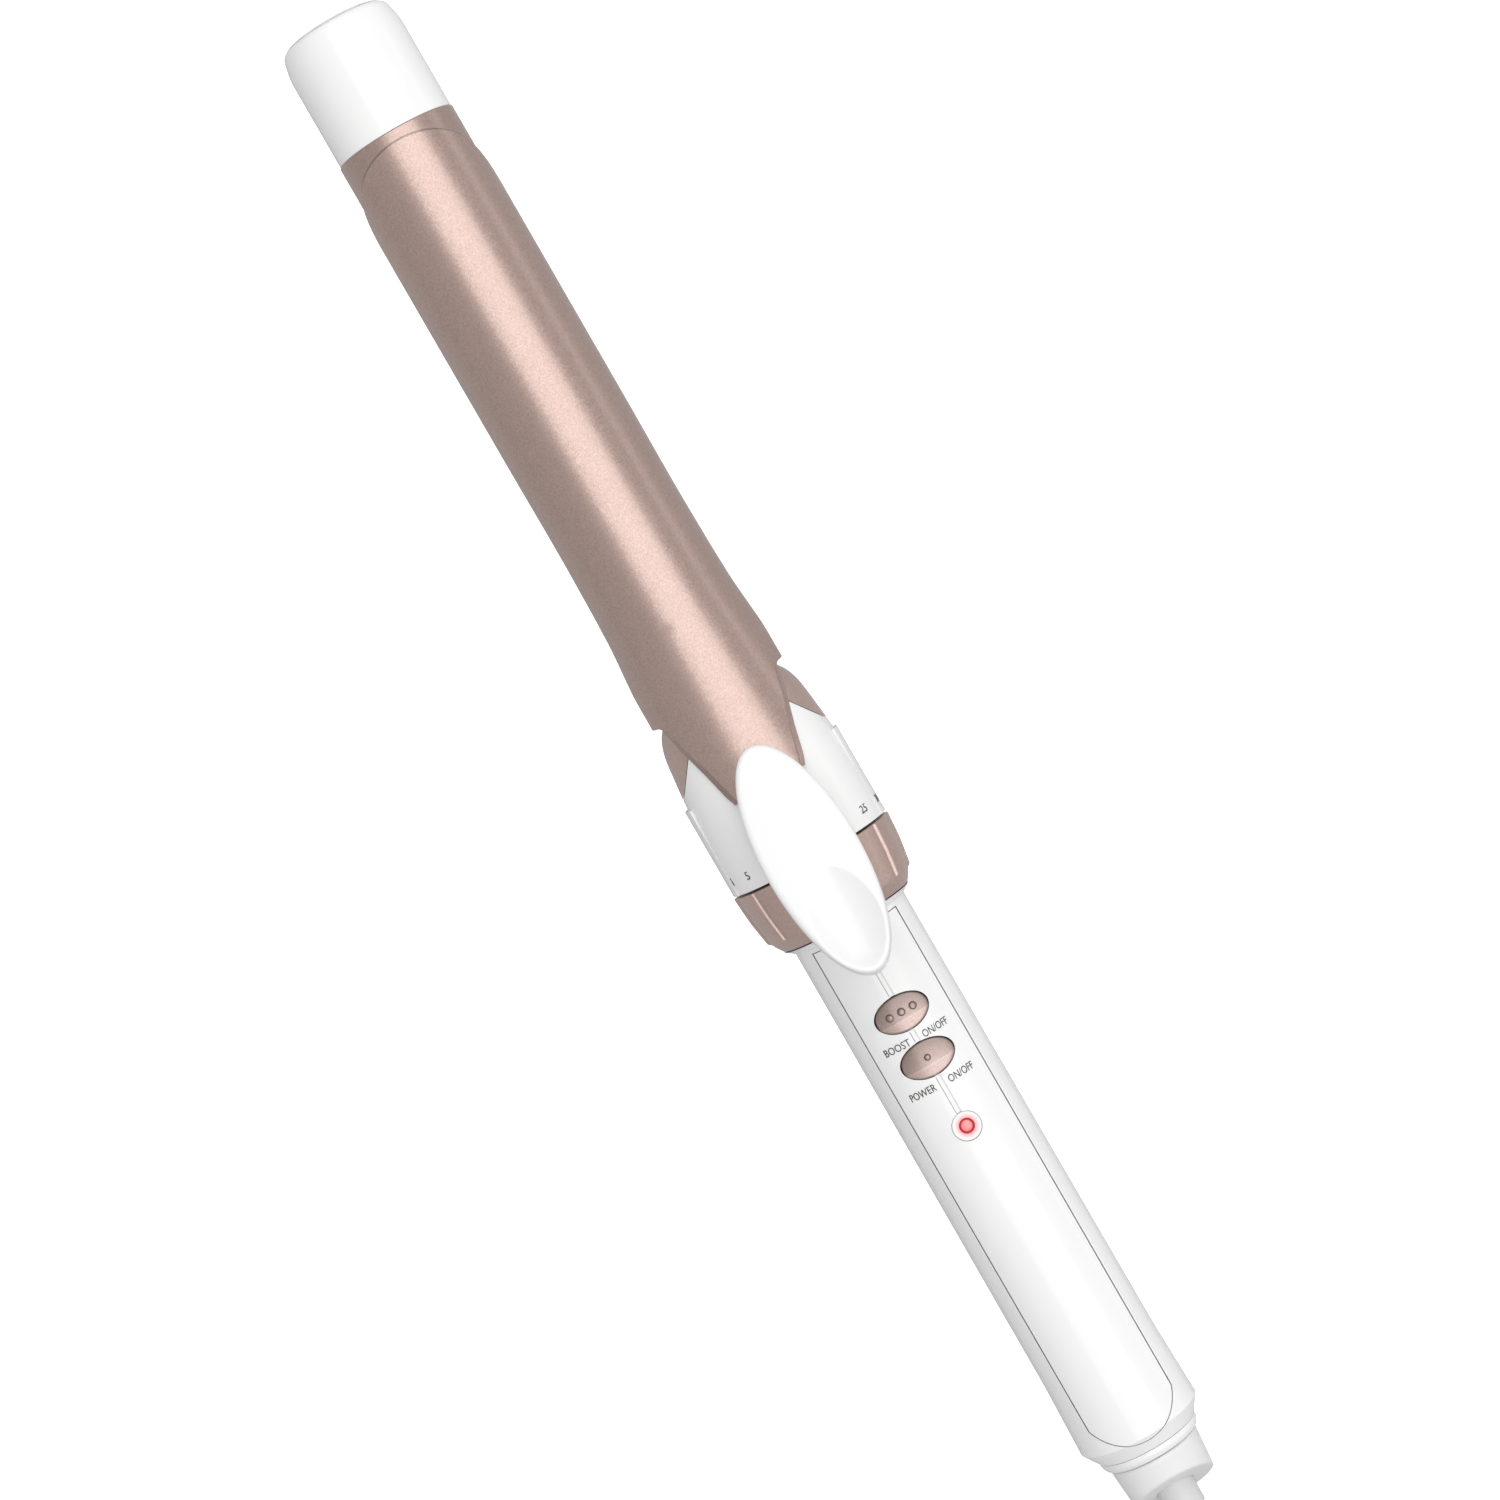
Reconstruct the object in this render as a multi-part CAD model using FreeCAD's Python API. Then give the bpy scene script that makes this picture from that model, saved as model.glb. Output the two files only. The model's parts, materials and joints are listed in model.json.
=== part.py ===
"""Curling wand with a spring clamp: barrel, dial housing, handle, cord swivel and fold-out stand.

Every solid is made about the wand's own axis (X, towards the hot tip; Z up, towards the thumb
lever) and is lifted by axis_height on export, so that z = 0 is the flat foot it lies on.
Lengths are in millimetres.
"""
import FreeCAD, Part
import math
import os

V = FreeCAD.Vector

# ---------------------------------------------------------------- driving dimensions
# Overall places along the axis
barrel_front_x = 152.2
barrel_rear_x = 14.0
cap_length = 25.1
nose_front_x = 25.1
housing_rear_x = -10.4
dial_front_x = -10.9
dial_length = 13.7
handle_front_x = -25.1
handle_length = 120.6

# Barrel and tip
barrel_radius = 12.7
barrel_wall = 1.2
cap_radius = 12.5
cap_wall = 1.8
cap_spigot_length = 8.0
slip_gap = 0.05

# Spoon clamp and its thumb lever
clamp_sheet = 0.7
clamp_gap = 0.12
clamp_tip_x = 150.1
clamp_tip_radius = 22.0
tongue_lift = 1.2
wing_rear_x = 26.3
tongue_rear_x = 6.2
pivot_x = 2.0
pivot_rise = 2.63
pivot_pin_radius = 1.0
pivot_ear_radius = 1.9
lug_radius = 2.1
lug_inner_y = 4.2
lug_outer_y = 5.7
bracket_half_width = 3.9
bracket_front_x = 10.6
lever_front_x = 15.1
lever_rise = 3.03
lever_length = 51.0
lever_width = 19.1
lever_slope = 20.0
lever_skin = 2.2
lever_skirt = 3.6
lever_wall = 1.6
lever_edge_round = 1.1
dish_length = 22.4
dish_width = 13.2
dish_depth = 1.1
dish_back = 14.4
rivet_radius = 1.2
spring_offset = 7.5
spring_coil_radius = 2.25
spring_wire_radius = 0.35
spring_turns = 4.5

# Housing in front of the dial
housing_step = 4.27
housing_wall = 2.37
nose_wall = 1.3
housing_web = 2.0
nose_step_x = 8.9
nose_step = 0.4
chevron_x = 11.0
chevron_half_width = 16.6
chevron_slope = 1.4
chevron_level_x = 19.3
seam = 0.2
parting_angle = 70.0
neck_radius = 12.5
neck_bore = 9.0
foot_depth = 1.63

# Temperature dial
dial_proud = 0.13
dial_rib_height = 0.5
dial_rib_count = 10
dial_rib_width = 1.0
dial_web = 1.8
dial_wall = 2.0

# Handle
handle_radius = 12.4
handle_wall = 2.1
collar_radius = 14.2
panel_half_width = 9.3
panel_thickness = 1.2
panel_front_x = -27.5
panel_end_x = -143.3
panel_end_radius = 10.0
groove_width = 1.05
groove_depth = 0.35

# Buttons, light and board
boost_x = -45.7
power_x = -56.0
button_half_across = 5.6
button_half_along = 3.53
button_gap = 0.25
button_stand_off = 0.4
light_x = -71.4
light_radius = 3.0
led_radius = 1.5
board_front_x = -40.0
board_length = 72.0
board_width = 18.0
board_thickness = 1.6
rear_screw_x = -118.0
neck_screw_x = -32.0
screw_radius = 1.3
screw_head_radius = 2.2
screw_head_depth = 1.6

# Cord swivel
end_ring_length = 2.2
swivel_radius = 9.66
swivel_length = 9.4
swivel_face_slope = 26.0
swivel_stem_radius = 7.2
slip_stem_radius = 5.0
gland_radius = 4.1
cord_bore_radius = 3.1
contact_y = 6.5
gland_length = 10.0

# Fold-out wire stand
foot_half_width = 6.4
stand_wire_radius = 1.25
stand_half_width = 9.3
stand_pivot_x = 3.0
stand_length = 57.0
sleeve_radius = 1.9
stand_tuck = 3.4

# ---------------------------------------------------------------- derived places
barrel_bore = barrel_radius - barrel_wall
housing_radius = barrel_radius + housing_step
housing_bore = housing_radius - housing_wall
axis_height = housing_radius + foot_depth
dial_radius = housing_radius + dial_proud
pivot_height = housing_radius + pivot_rise
lever_front_height = housing_radius + lever_rise
cap_front_x = barrel_front_x + cap_length
dial_rear_x = dial_front_x - dial_length
handle_rear_x = handle_front_x - handle_length
handle_bore = handle_radius - handle_wall
board_top = board_thickness / 2
stand_pivot_z = -(axis_height - stand_wire_radius - 0.75)
clamp_radius = barrel_radius + clamp_gap + clamp_sheet

os.makedirs("parts", exist_ok=True)


# ---------------------------------------------------------------- shape helpers
def face_of(points):
    """A flat face in the XZ half-plane from (x, radius) corners."""
    corners = [V(x, 0, r) for x, r in points]
    return Part.Face(Part.makePolygon(corners + corners[:1]))


def turned(points):
    """A solid of revolution about the axis from (x, radius) corners."""
    return face_of(points).revolve(V(0, 0, 0), V(1, 0, 0), 360)


def smooth_turned(outer, inner):
    """A solid of revolution whose outer line is a smooth curve and whose inner line is straight runs."""
    curve = Part.BSplineCurve()
    curve.interpolate([V(x, 0, r) for x, r in outer])
    inner_points = [V(x, 0, r) for x, r in inner]
    runs = [V(outer[-1][0], 0, outer[-1][1])] + inner_points + [V(outer[0][0], 0, outer[0][1])]
    edges = [curve.toShape()] + [Part.makeLine(a, b) for a, b in zip(runs, runs[1:])]
    return Part.Face(Part.Wire(edges)).revolve(V(0, 0, 0), V(1, 0, 0), 360)


def rod(x0, x1, radius, y=0.0, z=0.0):
    """A round bar along X."""
    return Part.makeCylinder(radius, abs(x1 - x0), V(min(x0, x1), y, z), V(1, 0, 0))


def ring(x0, x1, outer, inner):
    """A round tube on the axis."""
    return rod(x0, x1, outer).cut(rod(min(x0, x1) - 1, max(x0, x1) + 1, inner))


def cross_rod(x, z, radius, y0, y1):
    """A round bar along Y."""
    return Part.makeCylinder(radius, y1 - y0, V(x, y0, z), V(0, 1, 0))


def post(x, y, z0, z1, radius):
    """A round bar along Z."""
    return Part.makeCylinder(radius, z1 - z0, V(x, y, z0), V(0, 0, 1))


def block(x0, x1, y0, y1, z0, z1):
    """A box from its two corners on each axis."""
    return Part.makeBox(x1 - x0, y1 - y0, z1 - z0, V(x0, y0, z0))


def sector(x0, x1, half_angle):
    """Everything within half_angle of the top, between two planes across the axis."""
    reach = 40.0
    side = math.radians(half_angle)
    left = V(x0, -reach * math.sin(side), reach * math.cos(side))
    right = V(x0, reach * math.sin(side), reach * math.cos(side))
    bottom = V(x0, 0, 0)
    arc = Part.Arc(left, V(x0, 0, reach), right).toShape()
    wire = Part.Wire([Part.makeLine(bottom, left), arc, Part.makeLine(right, bottom)])
    return Part.Face(wire).extrude(V(x1 - x0, 0, 0))


def ellipse_prism(x, half_along, half_across, z0, z1):
    """An upright elliptical column centred on the plane y = 0."""
    along_x = half_along >= half_across
    major = max(half_along, half_across)
    minor = min(half_along, half_across)
    ellipse = Part.Ellipse(V(0, 0, 0), major, minor)
    column = Part.Face(Part.Wire(ellipse.toShape())).extrude(V(0, 0, z1 - z0))
    if not along_x:
        column.rotate(V(0, 0, 0), V(0, 0, 1), 90)
    column.translate(V(x, 0, z0))
    return column


def side_prism(points, half_width):
    """A slab, symmetric about y = 0, from its side outline in (x, z)."""
    corners = [V(x, -half_width, z) for x, z in points]
    face = Part.Face(Part.makePolygon(corners + corners[:1]))
    return face.extrude(V(0, 2 * half_width, 0))


def plan_prism(points, z0, z1):
    """A column from its plan outline in (x, y)."""
    corners = [V(x, y, z0) for x, y in points]
    return Part.Face(Part.makePolygon(corners + corners[:1])).extrude(V(0, 0, z1 - z0))


def helix_spring(x, z0, z1, coil_radius, wire_radius, turns):
    """A coil spring standing on z0, with its wire inside z0 to z1."""
    height = z1 - z0 - 2 * wire_radius
    path = Part.makeHelix(height / turns, height, coil_radius)
    start = V(coil_radius, 0, 0)
    circle = Part.Wire(Part.makeCircle(wire_radius, start, V(0, 1, 0)))
    coil = Part.Wire(path).makePipeShell([circle], True, True)
    coil.translate(V(x, 0, z0 + wire_radius))
    return coil


def export(name, solids):
    """Lift the solids to their height above the foot and write them as one node."""
    group = solids if isinstance(solids, list) else [solids]
    flat = [solid for shape in group for solid in shape.Solids]
    shape = Part.makeCompound(flat) if len(flat) > 1 else flat[0]
    moved = shape.copy()
    moved.translate(V(0, 0, axis_height))
    moved.exportStep("parts/" + name + ".step")
    box = moved.BoundBox
    print("%-22s solids %2d  valid %s  x %7.1f %7.1f  y %6.1f %6.1f  z %6.1f %6.1f" % (
        name, len(flat), moved.isValid(), box.XMin, box.XMax, box.YMin, box.YMax, box.ZMin, box.ZMax))


# ---------------------------------------------------------------- barrel and tip
def make_barrel_group():
    """The coated tube, its cool tip cap and the plug that carries it."""
    screw_x = barrel_rear_x + 5.0
    barrel = ring(barrel_rear_x, barrel_front_x, barrel_radius, barrel_bore)
    mount = turned([
        (barrel_rear_x + 10, 6.0), (barrel_rear_x + 10, barrel_bore - slip_gap),
        (barrel_rear_x, barrel_bore - slip_gap), (barrel_rear_x, barrel_radius + 1.0),
        (barrel_rear_x - 3, barrel_radius + 1.0), (barrel_rear_x - 3, neck_bore - slip_gap),
        (barrel_rear_x - 14, neck_bore - slip_gap), (barrel_rear_x - 14, 6.0)])
    screws = []
    for angle in (60, 180, 300):
        shank = post(screw_x, 0, 7.5, barrel_radius, 1.0)
        head = post(screw_x, 0, barrel_radius, barrel_radius + 0.8, 1.7)
        hole = post(screw_x, 0, 7.5, barrel_radius + 1, 1.0)
        screw = shank.fuse(head)
        for shape in (screw, hole):
            shape.rotate(V(0, 0, 0), V(1, 0, 0), angle)
        screws.append(screw)
        barrel = barrel.cut(hole)
        mount = mount.cut(hole)
    export("barrel", barrel)
    export("barrel_mount", mount)
    export("barrel_screws", screws)

    bore = cap_radius - cap_wall
    spigot = barrel_bore - slip_gap
    cap = turned([
        (barrel_front_x - cap_spigot_length, bore - 1.0), (barrel_front_x - cap_spigot_length, spigot),
        (barrel_front_x, spigot), (barrel_front_x, cap_radius), (cap_front_x - 6.0, cap_radius),
        (cap_front_x - 1.5, cap_radius - 0.7), (cap_front_x - 0.4, cap_radius - 1.3),
        (cap_front_x, cap_radius - 2.4), (cap_front_x, 0), (cap_front_x - 2.2, 0),
        (cap_front_x - 2.2, bore - 1.0)])
    export("tip_cap", cap)
    insulator_x = barrel_front_x - cap_spigot_length - 3.0
    export("tip_insulator", rod(insulator_x, insulator_x + 2.5, barrel_bore - slip_gap))


def make_heater_group():
    """The ceramic heater bar clamped between two half-round spreaders inside the barrel."""
    rear_x = 40.0
    front_x = barrel_front_x - cap_spigot_length - 6.0
    film = 0.3
    bar_half_height = 1.1
    bar_half_width = 7.0
    slot = bar_half_height + film
    round_bar = rod(rear_x, front_x, barrel_bore - slip_gap)
    relief = [rod(rear_x - 1, front_x + 1, 2.4, 0, side * 6.6) for side in (1, -1)]
    probe_hole = rod(rear_x - 1, rear_x + 6, 1.25, 0, 3.0)
    for name, low, high, hole in (("heat_spreader_upper", slot, 20.0, relief[0]),
                                  ("heat_spreader_lower", -20.0, -slot, relief[1])):
        half = round_bar.common(block(rear_x, front_x, -20, 20, low, high)).cut(hole)
        if low > 0:
            half = half.cut(probe_hole)
        export(name, half)
    bar = block(rear_x + 2, front_x - 2, -bar_half_width, bar_half_width, -bar_half_height, bar_half_height)
    wrap = block(rear_x + 2, front_x - 2, -bar_half_width - film, bar_half_width + film, -slot, slot)
    leads = []
    for y in (-2.5, 2.5):
        leads.append(rod(board_front_x, rear_x + 2, 0.7, y))
    fuse = rod(27.0, 36.0, 1.5, -2.5).cut(leads[0])
    probe = rod(rear_x - 4, rear_x + 5, 1.2, 0, 3.0)
    probe_leads = []
    for y in (-0.6, 0.6):
        run = rod(board_front_x - 1.5, rear_x - 4, 0.35, y, 3.0)
        drop = post(board_front_x - 1.5, y, board_top, 3.0, 0.35)
        corner = Part.makeSphere(0.35, V(board_front_x - 1.5, y, 3.0))
        probe_leads.append(run.fuse([drop, corner]))
    export("ceramic_heater", bar)
    export("heater_film", wrap.cut(bar))
    export("heater_leads", leads)
    export("thermal_fuse", fuse)
    export("temperature_probe", probe)
    export("probe_leads", probe_leads)


# ---------------------------------------------------------------- housing and dial
def nose_outline():
    """The outer line of the nose, from the barrel back to the full housing radius."""
    shoulder = [(0.0, 0.12), (2.3, 0.445), (4.7, 0.62), (8.3, 0.74), (14.3, 0.89)]
    curve = [(nose_front_x - back, barrel_radius + share * housing_step) for back, share in shoulder]
    return curve + [(nose_step_x - 4.0, housing_radius), (housing_rear_x, housing_radius)]


def nose_shell():
    """The whole nose and housing as one hollow turned wall."""
    inner = [(housing_rear_x, neck_radius + slip_gap),
             (housing_rear_x + housing_web, neck_radius + slip_gap),
             (housing_rear_x + housing_web, housing_bore), (barrel_rear_x - 3.0, housing_bore),
             (nose_front_x - 4.7, barrel_radius + 0.62 * housing_step - nose_wall),
             (nose_front_x - 1.5, barrel_radius + slip_gap),
             (nose_front_x, barrel_radius + slip_gap)]
    return smooth_turned(nose_outline(), inner)


def chevron_zone(shift):
    """The space ahead of the slanting lines, in plan, that part the nose trim from the housing."""
    reach = 24.0
    edge = chevron_x + shift
    level = chevron_level_x + shift
    level_half = chevron_half_width - (chevron_level_x - chevron_x) / chevron_slope
    outer_x = edge - chevron_slope * (reach - chevron_half_width)
    return plan_prism([(60, -reach), (60, reach), (outer_x, reach), (level, level_half),
                       (level, -level_half), (outer_x, -reach)], -30, 30)


def make_housing_group():
    """The shoulder trim, the two housing shells and the neck that joins them to the handle."""
    shell = nose_shell()
    export("shoulder_ring", shell.common(chevron_zone(0)))

    body = shell.cut(chevron_zone(-seam))
    upper = body.common(sector(housing_rear_x, nose_front_x, parting_angle))
    lower = body.cut(sector(housing_rear_x - 1, nose_front_x + 1, parting_angle + 0.6))
    stud_x = spring_x()
    stud_radius = spring_coil_radius - spring_wire_radius - 0.3
    bumps = [post(stud_x, 0, housing_radius - 1.0, housing_radius + 1.2, stud_radius)]
    for side in (1, -1):
        y0 = min(side * lug_inner_y, side * lug_outer_y)
        y1 = max(side * lug_inner_y, side * lug_outer_y)
        boss = cross_rod(pivot_x, pivot_height, lug_radius, y0, y1)
        leg = block(pivot_x - lug_radius, pivot_x + lug_radius, y0, y1, housing_bore + 0.6, pivot_height)
        bumps.append(boss.fuse(leg).cut(cross_rod(pivot_x, pivot_height, pivot_pin_radius, -10, 10)))
    export("front_housing_upper", upper.fuse(bumps).removeSplitter())

    step = ring(housing_rear_x, nose_step_x, housing_radius + nose_step, housing_radius - 0.5)
    step = step.cut(sector(housing_rear_x - 1, nose_front_x, parting_angle + 0.6))
    wire_room = stand_pipe(stand_wire_radius + 0.4).cut(
        block(-5, 80, -foot_half_width, foot_half_width, -30, 0))
    foot = block(housing_rear_x + 1.4, nose_step_x, -foot_half_width, foot_half_width,
                 -axis_height, -housing_bore)
    pivot_bore = cross_rod(stand_pivot_x, stand_pivot_z, stand_wire_radius + slip_gap, -10, 10)
    tunnel_wall = block(stand_pivot_x - 4, stand_pivot_x + 4, -3.2, 3.2, -axis_height + 0.5, -housing_bore - 0.5)
    lower = lower.fuse([step, foot]).cut([pivot_bore, wire_room]).fuse(tunnel_wall).removeSplitter()
    export("front_housing_lower", lower)

    neck = turned([
        (barrel_rear_x - 3, neck_bore), (barrel_rear_x - 3, neck_radius),
        (handle_front_x + 0.2, neck_radius), (handle_front_x + 0.2, handle_bore - slip_gap),
        (handle_front_x - 13, handle_bore - slip_gap), (handle_front_x - 13, neck_bore)])
    export("neck_tube", neck.cut(screw_shank(neck_screw_x, neck_bore - 2.0)))
    export("pivot_pin", cross_rod(pivot_x, pivot_height, pivot_pin_radius, -lug_outer_y, lug_outer_y))


def make_dial_group():
    """The ribbed temperature ring, which turns on the neck, with its wiper and the track under it."""
    rear_radius = dial_radius - 2.9
    bore = neck_radius + slip_gap
    inner_front = dial_front_x - dial_web
    inner_rear = dial_rear_x + dial_web
    ring_body = turned([
        (dial_front_x, bore), (dial_front_x, dial_radius), (dial_front_x - 5.7, dial_radius - 0.4),
        (dial_rear_x + 2.3, dial_radius - 1.3), (dial_rear_x + 1.2, dial_radius - 1.9),
        (dial_rear_x, rear_radius), (dial_rear_x, bore), (inner_rear, bore),
        (inner_rear, dial_radius - 1.3 - dial_wall), (inner_front, dial_radius - dial_wall),
        (inner_front, bore)])
    rib_band = turned([
        (dial_front_x, dial_radius - 1.0), (dial_front_x, dial_radius + dial_rib_height),
        (dial_front_x - 5.7, dial_radius - 0.4 + dial_rib_height),
        (dial_rear_x + 2.3, dial_radius - 1.3 + dial_rib_height), (dial_rear_x + 2.1, dial_radius - 2.0)])
    spacing = 360.0 / dial_rib_count
    ribs = []
    for index in range(dial_rib_count):
        slab = block(dial_rear_x, dial_front_x, -dial_rib_width / 2, dial_rib_width / 2, 10.0, 30.0)
        slab.rotate(V(0, 0, 0), V(1, 0, 0), spacing * (index + 0.5))
        ribs.append(rib_band.common(slab))
    export("temperature_dial", ring_body.fuse(ribs).removeSplitter())

    track_radius = neck_radius + 0.5
    export("dial_track", ring(inner_rear + 1.0, inner_front - 1.0, track_radius, neck_radius))
    middle_x = (inner_front + inner_rear) / 2
    inside = turned([(inner_rear, 1), (inner_rear, dial_radius - 1.3 - dial_wall),
                     (inner_front, dial_radius - dial_wall), (inner_front, 1)])
    wiper = block(middle_x - 1.5, middle_x + 1.5, -1.5, 1.5, track_radius + 0.15, 30.0)
    export("dial_wiper", wiper.common(inside))


# ---------------------------------------------------------------- spoon clamp
def clamp_outline():
    """The outer line of the clamp sheet: straight on the barrel, then rising over the nose."""
    flare = [(20.0, 0.08), (9.0, 0.33), (0.0, 0.54), (-6.0, 0.70)]
    start = [(clamp_tip_x + 1, clamp_radius), (100.0, clamp_radius), (wing_rear_x + 32, clamp_radius)]
    rise = [(wing_rear_x + ahead, clamp_radius + share * housing_step) for ahead, share in flare]
    tongue = [(tongue_rear_x + 7.8, housing_radius + tongue_lift - 0.85), (tongue_rear_x, housing_radius + tongue_lift)]
    return start + rise + tongue


def sheet_between(outline, thickness):
    """A turned sheet under a smooth outline, of even thickness measured across the axis."""
    outer = Part.BSplineCurve()
    outer.interpolate([V(x, 0, r) for x, r in outline])
    inner = Part.BSplineCurve()
    inner.interpolate([V(x, 0, r - thickness) for x, r in outline])
    first, last = outline[0], outline[-1]
    edges = [outer.toShape(),
             Part.makeLine(V(last[0], 0, last[1]), V(last[0], 0, last[1] - thickness)),
             inner.toShape(),
             Part.makeLine(V(first[0], 0, first[1] - thickness), V(first[0], 0, first[1]))]
    return Part.Face(Part.Wire(Part.__sortEdges__(edges))).revolve(V(0, 0, 0), V(1, 0, 0), 360)


def clamp_envelope():
    """Everything inside the clamp's outer surface, carried on level behind the tongue."""
    outline = clamp_outline()
    inside = smooth_turned(outline, [(outline[-1][0], 0), (outline[0][0], 0)])
    return inside.fuse(rod(tongue_rear_x - 12, tongue_rear_x, outline[-1][1]))


def clamp_plan():
    """The plan outline of the spoon: a round tip in the rolled sheet, wings, then the tongue."""
    tip = []
    centre_x = clamp_tip_x - clamp_tip_radius
    steps = 14
    quarter = clamp_radius * math.pi / 2
    limit = math.asin(min(1.0, quarter / clamp_tip_radius))
    for index in range(1, steps + 1):
        angle = limit * index / steps
        along_sheet = clamp_tip_radius * math.sin(angle)
        x = centre_x + clamp_tip_radius * math.cos(angle)
        tip.append((x, clamp_radius * math.sin(along_sheet / clamp_radius)))
    root = [(wing_rear_x, 20.0), (wing_rear_x, 13.6), (20.5, 12.3), (13.8, 10.3), (tongue_rear_x, 8.4)]
    side = tip + [(tip[-1][0] - 0.5, 20.0)] + root
    return [(clamp_tip_x, 0)] + side + [(x, -y) for x, y in reversed(side)]


def make_clamp_group():
    """The spoon, the wedge-shaped bracket on its tongue, the thumb lever and the return spring."""
    sheet = sheet_between(clamp_outline(), clamp_sheet)
    upper_half = block(0, 200, -30, 30, 0, 30)
    wing_trim = side_prism([(wing_rear_x - 30, -1), (60, -1), (34, 1.6), (wing_rear_x, 4.6),
                            (wing_rear_x - 30, 4.6)], 30.0)
    spoon = sheet.common(upper_half).common(plan_prism(clamp_plan(), -1, 30)).cut(wing_trim)
    rivet_xs = (8.6, 12.2)
    rivets = [post(x, 0, housing_radius - 0.1, lever_front_height - 0.6, rivet_radius) for x in rivet_xs]
    rivets = [rivet.cut(clamp_envelope().cut(sheet)) for rivet in rivets]
    for rivet in rivets:
        spoon = spoon.cut(rivet)
    export("clamp_spoon", spoon)

    lever_solid, lever_block = make_lever()
    bracket_side = [(bracket_front_x, pivot_height - 5.6), (bracket_front_x, pivot_height + 4.4), (pivot_x + 1.0, pivot_height + 4.4),
                    (pivot_x + 1.0, pivot_height - 1.2),
                    (tongue_rear_x, housing_radius + tongue_lift - 0.3)]
    bracket = side_prism(bracket_side, bracket_half_width)
    ear = cross_rod(pivot_x, pivot_height, pivot_ear_radius, -bracket_half_width, bracket_half_width)
    bracket = bracket.cut(clamp_envelope()).fuse(ear)
    bracket = bracket.cut(cross_rod(pivot_x, pivot_height, pivot_pin_radius + slip_gap, -10, 10))
    bracket = bracket.cut(lever_solid).common(lever_block)
    for rivet in rivets:
        bracket = bracket.cut(rivet)
    export("clamp_bracket", bracket)
    rivets = [rivet.cut(lever_solid) for rivet in rivets]
    export("lever_rivets", rivets)
    export("thumb_lever", lever_solid)

    top = lever_ceiling(spring_x() + spring_coil_radius + spring_wire_radius) - 0.05
    export("return_spring", helix_spring(spring_x(), housing_radius + 0.25, top,
                                         spring_coil_radius, spring_wire_radius, spring_turns))


def spring_x():
    """The return spring stands behind the pivot, where the lever comes down."""
    return pivot_x - spring_offset


def lever_ceiling(x):
    """Height of the lever's hollow underside above the axis, at rest."""
    slope = math.radians(lever_slope)
    return lever_front_height + (lever_front_x - x) * math.tan(slope) - lever_skin / math.cos(slope)


def make_lever():
    """The dished oval paddle, and the block of space beneath its skin."""
    half_length = lever_length / 2
    half_width = lever_width / 2
    paddle = ellipse_prism(0, half_length, half_width, -lever_skirt, 0)
    top_edges = [edge for edge in paddle.Edges if abs(edge.BoundBox.ZMin) < 1e-6 and abs(edge.BoundBox.ZMax) < 1e-6]
    paddle = paddle.makeFillet(lever_edge_round, top_edges)
    hollow = ellipse_prism(0, half_length - lever_wall, half_width - lever_wall, -lever_skirt - 1, -lever_skin)
    paddle = paddle.cut(hollow)
    ball = Part.makeSphere(1.0)
    squeeze = FreeCAD.Matrix()
    squeeze.scale(dish_length / 2, dish_width / 2, 1.0)
    bowl = ball.transformGeometry(squeeze)
    flatten = FreeCAD.Matrix()
    flatten.scale(1.0, 1.0, dish_depth)
    bowl = bowl.transformGeometry(flatten)
    bowl.translate(V(-dish_back, 0, 0))
    paddle = paddle.cut(bowl)
    under = block(-40, 40, -30, 30, -30, -lever_skin)
    for shape in (paddle, under):
        shape.translate(V(-half_length, 0, 0))
        shape.rotate(V(0, 0, 0), V(0, 1, 0), lever_slope)
        shape.translate(V(lever_front_x, 0, lever_front_height))
    return paddle.cut(clamp_envelope()), under


# ---------------------------------------------------------------- handle
def handle_outline():
    """The outer line of the handle: collar flare, straight grip, end flare and chamfer."""
    return [(handle_front_x, collar_radius), (handle_front_x - 0.5, collar_radius - 0.7),
            (handle_front_x - 1.3, handle_radius), (handle_front_x - 101.9, handle_radius + 0.27),
            (handle_rear_x + 3.3, handle_radius + 0.75), (handle_rear_x, handle_radius - 1.4)]


def handle_skin(depth):
    """The outermost layer of the handle, of the given depth."""
    outer = handle_outline()
    inner = [(x, handle_radius - depth) for x in (handle_rear_x, handle_front_x)]
    return turned(outer + inner)


def panel_zone(grow):
    """The column over the long inset panel on top of the handle, grown by a seam."""
    half = panel_half_width + grow
    radius = panel_end_radius + grow
    centre_x = panel_end_x + panel_end_radius
    reach = math.sqrt(radius ** 2 - half ** 2)
    front = panel_front_x + grow
    corner = V(centre_x - reach, -half, 0)
    other = V(centre_x - reach, half, 0)
    arc = Part.Arc(corner, V(centre_x - radius, 0, 0), other).toShape()
    wire = Part.Wire([Part.makeLine(V(front, -half, 0), corner), arc,
                      Part.makeLine(other, V(front, half, 0)),
                      Part.makeLine(V(front, half, 0), V(front, -half, 0))])
    return Part.Face(wire).extrude(V(0, 0, 30))


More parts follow.
